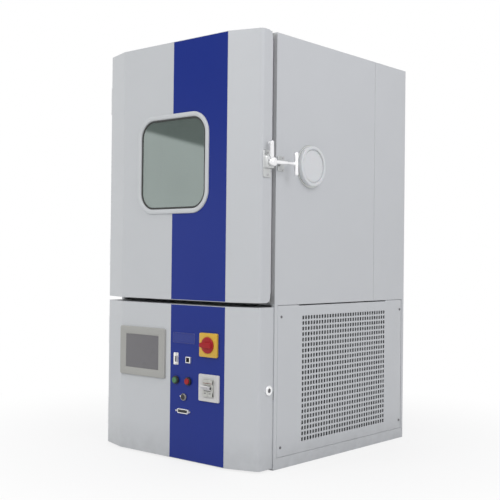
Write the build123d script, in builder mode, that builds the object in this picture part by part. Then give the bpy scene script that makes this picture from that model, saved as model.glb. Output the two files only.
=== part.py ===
"""Floor-standing environmental test chamber.

An insulated upper tier with a hinged window door stands on a machine bay, whose front is a
hinged control panel. Millimetres. The origin is the middle of the cabinet's footprint on the
floor, +X to the right of someone facing the door, +Y to the rear and +Z up.
"""

import os

from build123d import *

# Cabinet
cabinet_width = 600.0
cabinet_depth = 640.0
cabinet_height = 1150.0
tier_seam_z = 434.0
sheet = 1.5
top_edge_radius = 1.2
panel_fold = 12.0
side_seam_from_front = 467.0
side_seam_gap = 1.0

# Lower frame
frame_sheet = 2.0
plinth_height = 30.0
post_face = 12.0
post_return = 11.0
side_panel_gap = 1.0

# Perforated side panel
vent_columns = 33
vent_rows = 23
vent_column_pitch = 12.6
vent_row_pitch = 15.0
vent_hole_width = 7.6
vent_bridge = 5.5
vent_slots_per_column = 4
vent_centre_from_front = 325.0
vent_centre_z = 230.5

# Shared plan of the door and the control panel
front_width = 594.0
front_flat_width = 407.0
front_total_projection = 85.0
front_shoulder_projection = 55.0
front_sheet = 1.5
front_bend_radius = 4.0

# Door
door_bottom_z = 439.0
door_top_rise = 2.0
door_gap = 16.0
plug_rise = 13.0
plug_clearance = 8.0
gasket_width = 16.0
gasket_inset = 6.0
gasket_clearance = 0.3
gasket_radius = 24.0
gasket_chamfer = 4.0

# Door window
window_centre_z = 814.0
window_frame_size = 276.0
window_frame_radius = 48.0
window_sight_size = 240.0
window_sight_radius = 34.0
window_frame_proud = 5.0
window_frame_edge = 2.0
pane_size = 256.0
pane_radius = 40.0
outer_pane_thickness = 6.0
inner_pane_thickness = 5.0
pane_clearance = 0.5
tunnel_sheet = 1.5

# Test space
space_width = 400.0
space_height = 460.0
air_duct_depth = 100.0
space_centre_z = 800.0
space_radius = 14.0
liner_sheet = 1.2
rear_insulation = 80.0
motor_bay_depth = 60.0
mouth_plate = 3.0

# Shelf and runners
shelf_back_gap = 16.0
shelf_side_clearance = 3.0
shelf_z = 720.0
shelf_rod = 7.0
shelf_wire = 4.0
shelf_wires = 13
shelf_start = 18.0
runner_leg = 14.0
runner_sheet = 2.0

# Air circulation
baffle_sheet = 2.0
baffle_air_gap = 22.0
baffle_radius = 6.0
eye_slot_count = 8
eye_slot_radius = 32.0
eye_slot_length = 28.0
eye_slot_width = 10.0
fan_centre_z = 930.0
blower_radius = 78.0
blower_eye_radius = 52.0
blower_width = 34.0
blower_blades = 12
blower_plate = 2.5
blower_blade_angle = 38.0
blower_hub_radius = 14.0
blower_hub_length = 24.0
blower_bore_depth = 17.0
blower_shaft_depth = 15.5
shaft_radius = 6.0
shaft_clearance = 0.06
motor_radius = 48.0
motor_length = 46.0
motor_edge_radius = 8.0
coil_width = 330.0
coil_height = 150.0
coil_depth = 60.0
coil_bottom_gap = 22.0
fin_pitch = 15.0
fin_thickness = 6.0
fin_root = 30.0
coil_pipe_radius = 6.0
heater_rod_radius = 4.0
heater_width = 250.0
heater_height = 46.0
heater_gap = 40.0
heater_bend_radius = 16.0

# Cable port
port_from_front = 145.0
port_z = 808.0
port_flange_radius = 58.5
port_flange_thickness = 3.0
port_flange_edge = 1.5
port_bore_radius = 40.0
port_sleeve_wall = 2.5
plug_body_clearance = 0.06
plug_head_radius = 55.0
plug_head_thickness = 12.0
plug_head_edge = 3.0
plug_recess_radius = 45.0
plug_recess_depth = 2.5

# Lift-off hinges
hinge_axis_out = 8.0
hinge_knuckle_radius = 7.5
hinge_pin_radius = 4.0
hinge_pin_clearance = 0.05
hinge_height = 80.0
hinge_knuckle_gap = 0.5
hinge_pin_overlap = 34.0
hinge_leaf = 3.0
hinge_leaf_length = 34.0
hinge_leaf_start = 9.0
door_hinge_inset = 90.0
panel_hinge_inset = 50.0

# Door latch
latch_from_front = 35.0
latch_z = 805.0
latch_plate_width = 30.0
latch_plate_top = 32.0
latch_plate_bottom = 40.0
latch_plate_thickness = 3.0
latch_plate_radius = 4.0
latch_block_length = 28.0
latch_block_height = 34.0
latch_block_radius = 3.0
latch_block_rise = 11.5
latch_pin_radius = 5.0
latch_pin_clearance = 0.05
latch_hub_radius = 12.0
latch_hub_thickness = 14.0
latch_hub_gap = 0.5
latch_hub_edge = 4.0
latch_arm_radius = 50.5
latch_arm_width = 10.0
latch_arm_thickness = 4.0
latch_tip_radius = 4.5
latch_tip_clearance = 1.5
latch_rod_radius = 4.0
latch_rod_length = 79.0
latch_rod_lean = 13.0
latch_grip_radius = 6.0
latch_grip_length = 62.0
latch_grip_edge = 3.6
keeper_plate_thickness = 3.0
keeper_plate_height = 40.0
keeper_plate_length = 27.0
keeper_start = 4.0
keeper_lip_thickness = 5.0
keeper_lip_height = 16.0
keeper_lip_rise = 8.0

# Control panel
panel_bottom_z = 5.0
panel_top_z = 427.0
panel_clearance = 0.5

# Touch panel
touch_x = -111.0
touch_z = 288.0
touch_width = 184.0
touch_height = 138.0
touch_proud = 6.0
touch_radius = 5.0
touch_edge = 1.8
touch_behind = 38.0
touch_wall_inset = 7.0
screen_width = 133.0
screen_height = 94.0
screen_recess = 1.2
screen_thickness = 2.5

# Main switch
switch_x = 147.0
switch_z = 323.0
switch_plate_size = 64.0
switch_plate_thickness = 7.0
switch_plate_radius = 4.0
switch_plate_edge = 2.0
switch_neck_radius = 15.0
switch_body_size = 48.0
switch_body_depth = 40.0
switch_shaft_radius = 5.0
switch_shaft_clearance = 0.05
switch_shaft_length = 12.0
knob_radius = 22.0
knob_thickness = 7.0
knob_gap = 0.5
knob_grip_width = 13.0
knob_grip_length = 42.0
knob_grip_height = 14.0
knob_pointer_reach = 25.0
knob_grip_edge = 2.0

# Circuit breaker
breaker_x = 149.0
breaker_z = 209.0
breaker_frame_width = 74.0
breaker_frame_height = 72.0
breaker_frame_thickness = 5.0
breaker_frame_radius = 4.0
breaker_frame_edge = 2.0
breaker_width = 36.0
breaker_height = 45.0
breaker_proud = 9.0
breaker_back_height = 80.0
breaker_depth = 52.0
breaker_clearance = 0.5
toggle_width = 26.0
toggle_hub_radius = 6.0
toggle_clearance = 0.3
toggle_lever_length = 14.0
toggle_lever_thickness = 5.0
toggle_lever_radius = 1.5
toggle_rest_tilt = 25.0

# Push buttons
button_z = 220.0
green_button_x = 24.0
red_button_x = 71.0
button_sleeve_radius = 12.0
button_sleeve_proud = 9.0
button_radius = 9.0
button_edge = 1.5
button_clearance = 0.08
button_floor = 1.5
button_stand_out = 3.0
button_travel = 3.0
button_barrel_radius = 7.0
button_barrel_length = 22.0

# Sockets on the control panel
socket_clearance = 0.3
serial_socket_x = 24.0
serial_socket_z = 278.0
serial_socket_width = 17.0
serial_socket_height = 33.0
network_socket_x = 72.0
network_socket_z = 278.0
network_socket_width = 20.0
network_socket_height = 18.0
round_socket_x = 55.0
round_socket_z = 176.0
round_socket_radius = 10.0
parallel_socket_x = 54.0
parallel_socket_z = 137.5
parallel_socket_width = 55.0
parallel_socket_height = 14.0
socket_flange = 2.0
socket_flange_radius = 2.0
socket_proud = 6.0
socket_wall = 2.5
socket_behind = 14.0

# Key lock of the control panel
lock_from_front = 20.0
lock_z = 211.0
lock_bezel_radius = 13.0
lock_bezel_thickness = 4.0
lock_bezel_edge = 1.5
lock_barrel_radius = 9.0
lock_barrel_length = 14.0
lock_hole_clearance = 0.2
lock_rotor_radius = 6.0
lock_rotor_clearance = 0.05
lock_arm_gap = 0.5
lock_arm_thickness = 3.0
lock_arm_width = 8.0
lock_arm_radius = 27.0
lock_tip_radius = 4.0
lock_tip_clearance = 1.5
lock_keyway_width = 2.0
lock_keyway_length = 8.0
lock_keyway_depth = 3.0
notch_below = 27.0
notch_above = 4.5

# Refrigeration in the machine bay
compressor_x = -120.0
compressor_from_front = 420.0
compressor_radius = 78.0
compressor_height = 190.0
compressor_dome = 34.0
compressor_foot = 14.0
compressor_foot_size = 190.0
condenser_thickness = 44.0
condenser_width = 400.0
condenser_height = 330.0
condenser_gap = 16.0
condenser_fin_pitch = 20.0
condenser_fin_thickness = 9.0
condenser_root = 26.0
shroud_thickness = 14.0
shroud_mouth_radius = 150.0
cooling_fan_radius = 142.0
cooling_fan_hub_radius = 34.0
cooling_fan_blades = 5
cooling_fan_width = 30.0
cooling_fan_pitch = 24.0
blade_root_width = 27.0
blade_tip_width = 57.0
blade_tip_pitch = 38.4
fan_blade_thickness = 3.0
fan_motor_radius = 36.0
fan_motor_length = 50.0
fan_shaft_reach = 57.0
fan_arm_width = 14.0
fan_arm_gap = 6.0
electric_box_width = 180.0
electric_box_depth = 90.0
electric_box_height = 290.0
electric_box_from_front = 40.0
electric_box_radius = 4.0
rear_slot_count = 11
rear_slot_length = 360.0
rear_slot_height = 6.0
rear_slot_pitch = 18.0
rear_slot_centre_z = 230.0

# Supply inlet
gland_x = -230.0
gland_z = 70.0
gland_radius = 16.0
gland_body_radius = 11.2
gland_length = 24.0
gland_bore_radius = 7.0
gland_nut_thickness = 8.0

# Derived places
half_width = cabinet_width / 2
front_y = -cabinet_depth / 2
rear_y = cabinet_depth / 2
front_half = front_width / 2
flat_half = front_flat_width / 2
nose_y = front_y - front_total_projection
shoulder_y = front_y - front_shoulder_projection
door_back_y = front_y - door_gap
door_top_z = cabinet_height + door_top_rise
plug_y = door_back_y + plug_rise
space_low_z = space_centre_z - space_height / 2
space_high_z = space_centre_z + space_height / 2
insulation_back_y = rear_y - motor_bay_depth
liner_back_y = insulation_back_y - rear_insulation
liner_depth = liner_back_y - front_y
baffle_y = liner_back_y - air_duct_depth
shelf_low_y = front_y + shelf_start
shelf_high_y = baffle_y - shelf_back_gap
port_y = front_y + port_from_front
hinge_x = -front_half - hinge_axis_out
hinge_y = front_y - hinge_axis_out
latch_y = front_y - latch_from_front
lock_y = front_y - lock_from_front
vent_centre_y = front_y + vent_centre_from_front
vent_panel_low_y = front_y + post_face + side_panel_gap
vent_panel_high_y = rear_y - post_face - side_panel_gap
side_panel_low_z = plinth_height
deck_low_z = tier_seam_z - frame_sheet
side_panel_high_z = deck_low_z - side_panel_gap

os.makedirs("parts", exist_ok=True)


def save(builder, name):
    """Label a finished piece and write it as one STEP file."""
    builder.part.label = name
    export_step(builder.part, f"parts/{name}.step")


def facing_front(y):
    """Plane at depth y that faces the user: its x is +X and its y is +Z."""
    return Plane(origin=(0, y, 0), x_dir=(1, 0, 0), z_dir=(0, -1, 0))


def facing_right(x):
    """Plane at x that faces right: its x is +Y and its y is +Z."""
    return Plane(origin=(x, 0, 0), x_dir=(0, 1, 0), z_dir=(1, 0, 0))


def block(low, high):
    """Box between two corners, added to the part that is being built."""
    size = [high[i] - low[i] for i in range(3)]
    middle = [(high[i] + low[i]) / 2 for i in range(3)]
    with Locations(tuple(middle)):
        Box(*size)


def cut_block(low, high):
    """Box between two corners, cut from the part that is being built."""
    size = [high[i] - low[i] for i in range(3)]
    middle = [(high[i] + low[i]) / 2 for i in range(3)]
    with Locations(tuple(middle)):
        Box(*size, mode=Mode.SUBTRACT)


def front_plan(back_y):
    """Plan of the door and control panel: a flat, two angled facets and two returns."""
    with BuildSketch() as plan:
        with BuildLine():
            Polyline(
                (-front_half, back_y),
                (-front_half, shoulder_y),
                (-flat_half, nose_y),
                (flat_half, nose_y),
                (front_half, shoulder_y),
                (front_half, back_y),
                close=True,
            )
        make_face()
        fillet(plan.vertices().group_by(Axis.Y)[0], front_bend_radius)
        fillet(
            [v for v in plan.vertices() if abs(v.Y - shoulder_y) < sheet],
            front_bend_radius,
        )
    return plan.sketch


def front_skin(low_z, high_z, back_y):
    """Folded sheet front with its back open."""
    with BuildPart() as skin:
        with BuildSketch(Plane.XY.offset(low_z)):
            add(front_plan(back_y))
        extrude(amount=high_z - low_z)
        offset(amount=-front_sheet, openings=skin.faces().sort_by(Axis.Y)[-1])
    return skin.part


def folded_panel(low, high, open_sides):
    """Sheet panel with folded edges. open_sides lists the faces of the box that stay open."""
    with BuildPart() as panel:
        block(low, high)
        openings = [panel.faces().sort_by(axis)[place] for axis, place in open_sides]
        offset(amount=-sheet, openings=openings)
    return panel.part


# Lower frame: the plinth tray, and the deck that carries the upper tier
with BuildPart() as lower_frame:
    block((-half_width, front_y, 0), (half_width, rear_y, plinth_height))
    offset(amount=-frame_sheet, openings=lower_frame.faces().sort_by(Axis.Z)[-1])
    block((-half_width, front_y, deck_low_z), (half_width, rear_y, tier_seam_z))
save(lower_frame, "lower_frame")

# Four folded corner posts between the tray's rim and the deck
with BuildPart() as corner_posts:
    for side in (-1, 1):
        outer = side * half_width
        skin_in = side * (half_width - frame_sheet)
        fold_in = side * (half_width - post_return)
        for face_y, inward in ((front_y, 1), (rear_y, -1)):
            ys = sorted((face_y, face_y + inward * post_face))
            xs = sorted((outer, skin_in))
            block((xs[0], ys[0], plinth_height), (xs[1], ys[1], deck_low_z))
            ys = sorted((face_y, face_y + inward * frame_sheet))
            xs = sorted((outer, fold_in))
            block((xs[0], ys[0], plinth_height), (xs[1], ys[1], deck_low_z))
    # The lock's cam tip passes through this notch and turns behind the post's fold.
    cut_block(
        (half_width - post_return, front_y, lock_z - notch_below),
        (half_width - frame_sheet, front_y + frame_sheet, lock_z - notch_above),
    )
save(corner_posts, "corner_posts")

# Upper casing
upper_low_z = tier_seam_z
upper_high_z = cabinet_height - sheet
with BuildPart() as casing_left:
    add(
        folded_panel(
            (-half_width, front_y, upper_low_z),
            (-half_width + panel_fold, rear_y - sheet, upper_high_z),
            ((Axis.X, -1), (Axis.Y, 0)),
        )
    )
save(casing_left, "casing_left")

side_seam_y = front_y + side_seam_from_front
with BuildPart() as casing_right_front:
    add(
        folded_panel(
            (half_width - panel_fold, front_y, upper_low_z),
            (half_width, side_seam_y - side_seam_gap / 2, upper_high_z),
            ((Axis.X, 0), (Axis.Y, 0), (Axis.Y, -1)),
        )
    )
    with BuildSketch(facing_right(half_width)):
        with Locations((port_y, port_z)):
            Circle(port_bore_radius + port_sleeve_wall + pane_clearance)
    extrude(amount=-sheet, mode=Mode.SUBTRACT)
save(casing_right_front, "casing_right_front")

with BuildPart() as casing_right_rear:
    add(
        folded_panel(
            (half_width - panel_fold, side_seam_y + side_seam_gap / 2, upper_low_z),
            (half_width, rear_y - sheet, upper_high_z),
            ((Axis.X, 0), (Axis.Y, 0)),
        )
    )
save(casing_right_rear, "casing_right_rear")

with BuildPart() as casing_top:
    block((-half_width, front_y, upper_high_z), (half_width, rear_y, cabinet_height))
    fillet(casing_top.edges().filter_by(Axis.Y).group_by(Axis.Z)[-1], top_edge_radius)
save(casing_top, "casing_top")

with BuildPart() as casing_back:
    block((-half_width, rear_y - sheet, tier_seam_z), (half_width, rear_y, upper_high_z))
save(casing_back, "casing_back")

with BuildPart() as rear_bay_panel:
    rear_panel_half = half_width - post_return - side_panel_gap
    block(
        (-rear_panel_half, rear_y - sheet, side_panel_low_z),
        (rear_panel_half, rear_y, side_panel_high_z),
    )
    with BuildSketch(facing_front(rear_y)):
        with Locations((0, rear_slot_centre_z)):
            with GridLocations(1, rear_slot_pitch, 1, rear_slot_count):
                SlotOverall(rear_slot_length, rear_slot_height)
    extrude(amount=sheet, mode=Mode.SUBTRACT)
    with BuildSketch(facing_front(rear_y)):
        with Locations((gland_x, gland_z)):
            Circle(gland_body_radius + pane_clearance)
    extrude(amount=sheet, mode=Mode.SUBTRACT)
save(rear_bay_panel, "rear_bay_panel")

# Perforated panel on the right of the machine bay. Each column is cut as a few long slots.
with BuildPart() as side_vent_panel:
    add(
        folded_panel(
            (half_width - panel_fold, vent_panel_low_y, side_panel_low_z),
            (half_width, vent_panel_high_y, side_panel_high_z),
            ((Axis.X, 0),),
        )
    )
    vent_height = (vent_rows - 1) * vent_row_pitch + vent_hole_width
    vent_slot_height = (
        vent_height - (vent_slots_per_column - 1) * vent_bridge
    ) / vent_slots_per_column
    with BuildSketch(facing_right(half_width)):
        with Locations((vent_centre_y, vent_centre_z)):
            with GridLocations(
                vent_column_pitch,
                vent_slot_height + vent_bridge,
                vent_columns,
                vent_slots_per_column,
            ):
                Rectangle(vent_hole_width, vent_slot_height)
    extrude(amount=-sheet, mode=Mode.SUBTRACT)
save(side_vent_panel, "side_vent_panel")

with BuildPart() as side_plain_panel:
    add(
        folded_panel(
            (-half_width, vent_panel_low_y, side_panel_low_z),
            (-half_width + panel_fold, vent_panel_high_y, side_panel_high_z),
            ((Axis.X, -1),),
        )
    )
save(side_plain_panel, "side_plain_panel")

# Insulated box of the upper tier
liner_half = space_width / 2
with BuildPart() as mouth_frame:
    with BuildSketch(facing_front(front_y + mouth_plate)):
        with Locations((0, (upper_low_z + upper_high_z) / 2)):
            Rectangle(
                cabinet_width - 2 * sheet, upper_high_z - upper_low_z - 2 * sheet
            )
        with Locations((0, space_centre_z)):
            RectangleRounded(space_width, space_height, space_radius, mode=Mode.SUBTRACT)
    extrude(amount=mouth_plate)
save(mouth_frame, "mouth_frame")

with BuildPart() as chamber_liner:
    with BuildSketch(facing_front(liner_back_y)):
        with Locations((0, space_centre_z)):
            RectangleRounded(space_width, space_height, space_radius)
    extrude(amount=liner_depth - mouth_plate)
    offset(amount=liner_sheet, openings=chamber_liner.faces().sort_by(Axis.Y)[0])
    with BuildSketch(facing_right(liner_half - space_radius)):
        with Locations((port_y, port_z)):
            Circle(port_bore_radius + port_sleeve_wall + pane_clearance)
    extrude(amount=space_radius + 2 * liner_sheet, mode=Mode.SUBTRACT)
    with BuildSketch(facing_front(liner_back_y - sheet)):
        with Locations((0, fan_centre_z)):
            Circle(shaft_radius + pane_clearance)
    extrude(amount=-(sheet + 2 * liner_sheet), mode=Mode.SUBTRACT)
save(chamber_liner, "chamber_liner")

with BuildPart() as chamber_insulation:
    block(
        (-half_width + sheet, front_y + mouth_plate, upper_low_z + sheet),
        (half_width - sheet, insulation_back_y, upper_high_z - sheet),
    )
    with BuildSketch(facing_front(liner_back_y + liner_sheet)):
        with Locations((0, space_centre_z)):
            RectangleRounded(
                space_width + 2 * liner_sheet,
                space_height + 2 * liner_sheet,
                space_radius + liner_sheet,
            )
    extrude(amount=liner_depth, mode=Mode.SUBTRACT)
    with BuildSketch(facing_right(0)):
        with Locations((port_y, port_z)):
            Circle(port_bore_radius + port_sleeve_wall)
    extrude(amount=half_width, mode=Mode.SUBTRACT)
    with BuildSketch(facing_front(insulation_back_y)):
        with Locations((0, fan_centre_z)):
            Circle(shaft_radius + pane_clearance)
    extrude(amount=rear_insulation, mode=Mode.SUBTRACT)
save(chamber_insulation, "chamber_insulation")

# Shelf on two folded runners
runner_reach = runner_leg + runner_sheet
with BuildPart() as shelf_runners:
    for side in (-1, 1):
        wall_x = side * liner_half
        xs = sorted((wall_x, wall_x - side * runner_sheet))
        block(
            (xs[0], shelf_low_y, shelf_z - shelf_rod - runner_leg),
            (xs[1], shelf_high_y, shelf_z - shelf_rod),
        )
        xs = sorted((wall_x, wall_x - side * runner_reach))
        block(
            (xs[0], shelf_low_y, shelf_z - shelf_rod - runner_sheet),
            (xs[1], shelf_high_y, shelf_z - shelf_rod),
        )
save(shelf_runners, "shelf_runners")

with BuildPart() as wire_shelf:
    shelf_half = liner_half - shelf_side_clearance
    rod_z = shelf_z - shelf_rod / 2
    rod_x = shelf_half - shelf_rod / 2
    rod_low_y = shelf_low_y + shelf_rod / 2
    rod_high_y = shelf_high_y - shelf_rod / 2
    with BuildLine():
        FilletPolyline(
            (-rod_x, rod_low_y, rod_z),
            (rod_x, rod_low_y, rod_z),
            (rod_x, rod_high_y, rod_z),
            (-rod_x, rod_high_y, rod_z),
            radius=2 * shelf_rod,
            close=True,
        )
    with BuildSketch(Plane(origin=(0, rod_low_y, rod_z), z_dir=(1, 0, 0))):
        RegularPolygon(shelf_rod / 2, 8, major_radius=False, rotation=22.5)
    sweep()
    wire_span = 2 * rod_x - 4 * shelf_rod
    wire_z = shelf_z - shelf_wire / 2
    with BuildSketch(facing_front(rod_high_y)):
        with Locations((0, wire_z)):
            with GridLocations(wire_span / (shelf_wires - 1), 1, shelf_wires, 1):
                RegularPolygon(shelf_wire / 2, 6, major_radius=False)
    extrude(amount=rod_high_y - rod_low_y)
save(wire_shelf, "wire_shelf")

# Air circulation behind the baffle
with BuildPart() as air_baffle:
    baffle_half = liner_half - runner_sheet
    baffle_low = space_low_z + baffle_air_gap
    baffle_high = space_high_z - baffle_air_gap
    with BuildSketch(facing_front(baffle_y + baffle_sheet)):
        with Locations((0, (baffle_low + baffle_high) / 2)):
            RectangleRounded(2 * baffle_half, baffle_high - baffle_low, baffle_radius)
        with Locations((0, fan_centre_z)):
            with PolarLocations(eye_slot_radius, eye_slot_count):
                SlotOverall(eye_slot_length, eye_slot_width, mode=Mode.SUBTRACT)
    extrude(amount=baffle_sheet)
    for side in (-1, 1):
        xs = sorted((side * liner_half, side * (baffle_half - runner_leg)))
        block(
            (xs[0], baffle_y + baffle_sheet, baffle_low + baffle_air_gap),
            (xs[1], baffle_y + 2 * baffle_sheet, baffle_high - baffle_air_gap),
        )
save(air_baffle, "air_baffle")

blower_front_y = baffle_y + 4 * baffle_sheet
blower_back_y = blower_front_y + blower_width
with BuildPart() as blower_wheel:
    with BuildSketch(facing_front(blower_back_y)):
        with Locations((0, fan_centre_z)):
            Circle(blower_radius)
    extrude(amount=blower_plate)
    with BuildSketch(facing_front(blower_front_y + blower_plate)):
        with Locations((0, fan_centre_z)):
            Circle(blower_radius)
            Circle(blower_eye_radius, mode=Mode.SUBTRACT)
    extrude(amount=blower_plate)
    with BuildSketch(facing_front(blower_back_y - blower_plate)):
        with Locations((0, fan_centre_z)):
            with PolarLocations((blower_eye_radius + blower_radius) / 2, blower_blades):
                with Locations(Location((0, 0), blower_blade_angle)):
                    Rectangle(blower_radius - blower_eye_radius, blower_plate)
    extrude(amount=blower_width - 2 * blower_plate)
    with BuildSketch(facing_front(blower_back_y)):
        with Locations((0, fan_centre_z)):
            Circle(blower_hub_radius)
    extrude(amount=blower_hub_length)
    with BuildSketch(facing_front(blower_back_y)):
        with Locations((0, fan_centre_z)):
            Circle(shaft_radius + shaft_clearance)
    extrude(amount=blower_bore_depth, mode=Mode.SUBTRACT)
save(blower_wheel, "blower_wheel")

with BuildPart() as blower_motor:
    with BuildSketch(facing_front(insulation_back_y + motor_length)):
        with Locations((0, fan_centre_z)):
            Circle(motor_radius)
    extrude(amount=motor_length)
    fillet(
        blower_motor.edges().filter_by(GeomType.CIRCLE).sort_by(Axis.Y)[-1],
        motor_edge_radius,
    )
    with BuildSketch(facing_front(insulation_back_y)):
        with Locations((0, fan_centre_z)):
            Circle(shaft_radius)
    extrude(amount=insulation_back_y - blower_back_y + blower_shaft_depth)
save(blower_motor, "blower_motor")


def finned_coil(low, high, fin_step, fin_width, root):
    """Coil block whose two open faces, along Y, are combed into vertical fins."""
    fins = int((high[0] - low[0] - fin_width) // fin_step)
    middle_x = (low[0] + high[0]) / 2
    middle_y = (low[1] + high[1]) / 2
    depth = high[1] - low[1]
    with BuildPart() as coil:
        with BuildSketch(Plane.XY.offset(low[2])):
            with Locations((middle_x, middle_y)):
                Rectangle(high[0] - low[0], root)
                with GridLocations(fin_step, 1, fins + 1, 1):
                    Rectangle(fin_width, depth)
        extrude(amount=high[2] - low[2])
    return coil.part


duct_middle_y = baffle_y + 2 * baffle_sheet + (liner_back_y - baffle_y) / 2
coil_low_z = space_low_z + coil_bottom_gap
coil_high_z = coil_low_z + coil_height
with BuildPart() as evaporator_coil:
    add(
        finned_coil(
            (-coil_width / 2, duct_middle_y - coil_depth / 2, coil_low_z),
            (coil_width / 2, duct_middle_y + coil_depth / 2, coil_high_z),
            fin_pitch,
            fin_thickness,
            fin_root,
        )
    )
    # Bearer under the fins and the two pipes that leave through the rear wall
    block(
        (-coil_width / 2, duct_middle_y - fin_root / 2, space_low_z),
        (coil_width / 2, duct_middle_y + fin_root / 2, coil_low_z),
    )
    with BuildSketch(facing_front(duct_middle_y)):
        with Locations((coil_width / 3, coil_high_z - 3 * coil_pipe_radius)):
            Circle(coil_pipe_radius)
        with Locations((coil_width / 3, coil_low_z + 3 * coil_pipe_radius)):
            Circle(coil_pipe_radius)
    extrude(amount=-(liner_back_y - duct_middle_y))
save(evaporator_coil, "evaporator_coil")

heater_low_z = coil_high_z + heater_gap
with BuildPart() as heater_element:
    heater_half = heater_width / 2
    with BuildLine():
        FilletPolyline(
            (-heater_half, liner_back_y, heater_low_z),
            (-heater_half, duct_middle_y, heater_low_z),
            (heater_half, duct_middle_y, heater_low_z),
            (heater_half, duct_middle_y, heater_low_z + heater_height),
            (-heater_half, duct_middle_y, heater_low_z + heater_height),
            (-heater_half, liner_back_y, heater_low_z + heater_height),
            radius=heater_bend_radius,
        )
    with BuildSketch(facing_front(liner_back_y)):
        with Locations((-heater_half, heater_low_z)):
            Circle(heater_rod_radius)
    sweep()
save(heater_element, "heater_element")

# Cable port through the right wall, closed by a pull-out plug
port_outer_radius = port_bore_radius + port_sleeve_wall
with BuildPart() as port_sleeve:
    with BuildSketch(facing_right(liner_half)):
        with Locations((port_y, port_z)):
            Circle(port_outer_radius)
    extrude(amount=half_width - liner_half)
    with BuildSketch(facing_right(half_width)):
        with Locations((port_y, port_z)):
            Circle(port_flange_radius)
    extrude(amount=port_flange_thickness)
    fillet(
        port_sleeve.edges().filter_by(GeomType.CIRCLE).sort_by(Axis.X)[-1],
        port_flange_edge,
    )
    with BuildSketch(facing_right(liner_half)):
        with Locations((port_y, port_z)):
            Circle(port_bore_radius)
    extrude(
        amount=half_width - liner_half + port_flange_thickness, mode=Mode.SUBTRACT
    )
save(port_sleeve, "port_sleeve")

port_face_x = half_width + port_flange_thickness
with BuildPart() as port_plug:
    with BuildSketch(facing_right(liner_half)):
        with Locations((port_y, port_z)):
            Circle(port_bore_radius - plug_body_clearance)
    extrude(amount=port_face_x - liner_half)
    with BuildSketch(facing_right(port_face_x)):
        with Locations((port_y, port_z)):
            Circle(plug_head_radius)
    extrude(amount=plug_head_thickness)
    fillet(
        port_plug.edges().filter_by(GeomType.CIRCLE).sort_by(Axis.X)[-1], plug_head_edge
    )
    with BuildSketch(facing_right(port_face_x + plug_head_thickness)):
        with Locations((port_y, port_z)):
            Circle(plug_recess_radius)
    extrude(amount=-plug_recess_depth, mode=Mode.SUBTRACT)
save(port_plug, "port_plug")

# Door
with BuildPart() as door_skin:
    add(front_skin(door_bottom_z, door_top_z, door_back_y))
    with BuildSketch(facing_front(nose_y)):
        with Locations((0, window_centre_z)):
            RectangleRounded(
                pane_size + 2 * pane_clearance,
                pane_size + 2 * pane_clearance,
                pane_radius + pane_clearance,
            )
    extrude(amount=-front_sheet, mode=Mode.SUBTRACT)
save(door_skin, "door_skin")

plug_half_width = space_width / 2 - plug_clearance
plug_half_height = space_height / 2 - plug_clearance
tunnel_size = window_sight_size + 2 * tunnel_sheet
tunnel_front_y = nose_y + outer_pane_thickness
door_liner_half = front_half - front_sheet
with BuildPart() as door_liner:
    block(
        (-door_liner_half, door_back_y - sheet, door_bottom_z + front_sheet),
        (door_liner_half, door_back_y, door_top_z - front_sheet),
    )
    with BuildSketch(facing_front(plug_y)):
        with Locations((0, space_centre_z)):
            RectangleRounded(
                2 * plug_half_width, 2 * plug_half_height, space_radius
            )
    extrude(amount=plug_rise)
    with BuildSketch(facing_front(plug_y - sheet)):
        with Locations((0, space_centre_z)):
            RectangleRounded(
                2 * (plug_half_width - sheet),
                2 * (plug_half_height - sheet),
                space_radius - sheet,
            )
    extrude(amount=plug_rise, mode=Mode.SUBTRACT)
    with BuildSketch(facing_front(plug_y)):
        with Locations((0, window_centre_z)):
            RectangleRounded(
                tunnel_size, tunnel_size, window_sight_radius + tunnel_sheet
            )
    extrude(amount=plug_y - tunnel_front_y)
    with BuildSketch(facing_front(plug_y)):
        with Locations((0, window_centre_z)):
            RectangleRounded(
                window_sight_size, window_sight_size, window_sight_radius
            )
    extrude(amount=plug_y - tunnel_front_y, mode=Mode.SUBTRACT)
save(door_liner, "door_liner")

with BuildPart() as door_insulation:
    with BuildSketch(Plane.XY.offset(door_bottom_z + front_sheet)):
        add(front_plan(door_back_y - sheet + front_sheet))
        offset(amount=-front_sheet)
    extrude(amount=door_top_z - door_bottom_z - 2 * front_sheet)
    with BuildSketch(facing_front(plug_y - sheet)):
        with Locations((0, space_centre_z)):
            RectangleRounded(
                2 * (plug_half_width - sheet),
                2 * (plug_half_height - sheet),
                space_radius - sheet,
            )
    extrude(amount=plug_rise)
    with BuildSketch(facing_front(plug_y)):
        with Locations((0, window_centre_z)):
            RectangleRounded(
                tunnel_size, tunnel_size, window_sight_radius + tunnel_sheet
            )
    extrude(amount=plug_y - nose_y, mode=Mode.SUBTRACT)
    with BuildSketch(facing_front(nose_y)):
        with Locations((0, window_centre_z)):
            RectangleRounded(
                pane_size + 2 * pane_clearance,
                pane_size + 2 * pane_clearance,
                pane_radius + pane_clearance,
            )
    extrude(amount=-outer_pane_thickness, mode=Mode.SUBTRACT)
save(door_insulation, "door_insulation")

with BuildPart() as door_gasket:
    gasket_inner_width = space_width + 2 * gasket_inset
    gasket_inner_height = space_height + 2 * gasket_inset
    with BuildSketch(facing_front(front_y - gasket_clearance)):
        with Locations((0, space_centre_z)):
            RectangleRounded(
                gasket_inner_width + 2 * gasket_width,
                gasket_inner_height + 2 * gasket_width,
                gasket_radius,
            )
            RectangleRounded(
                gasket_inner_width,
                gasket_inner_height,
                gasket_radius - gasket_width,
                mode=Mode.SUBTRACT,
            )
    extrude(amount=door_gap - gasket_clearance)
    chamfer(door_gasket.faces().sort_by(Axis.Y)[-1].edges(), gasket_chamfer)
save(door_gasket, "door_gasket")

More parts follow.
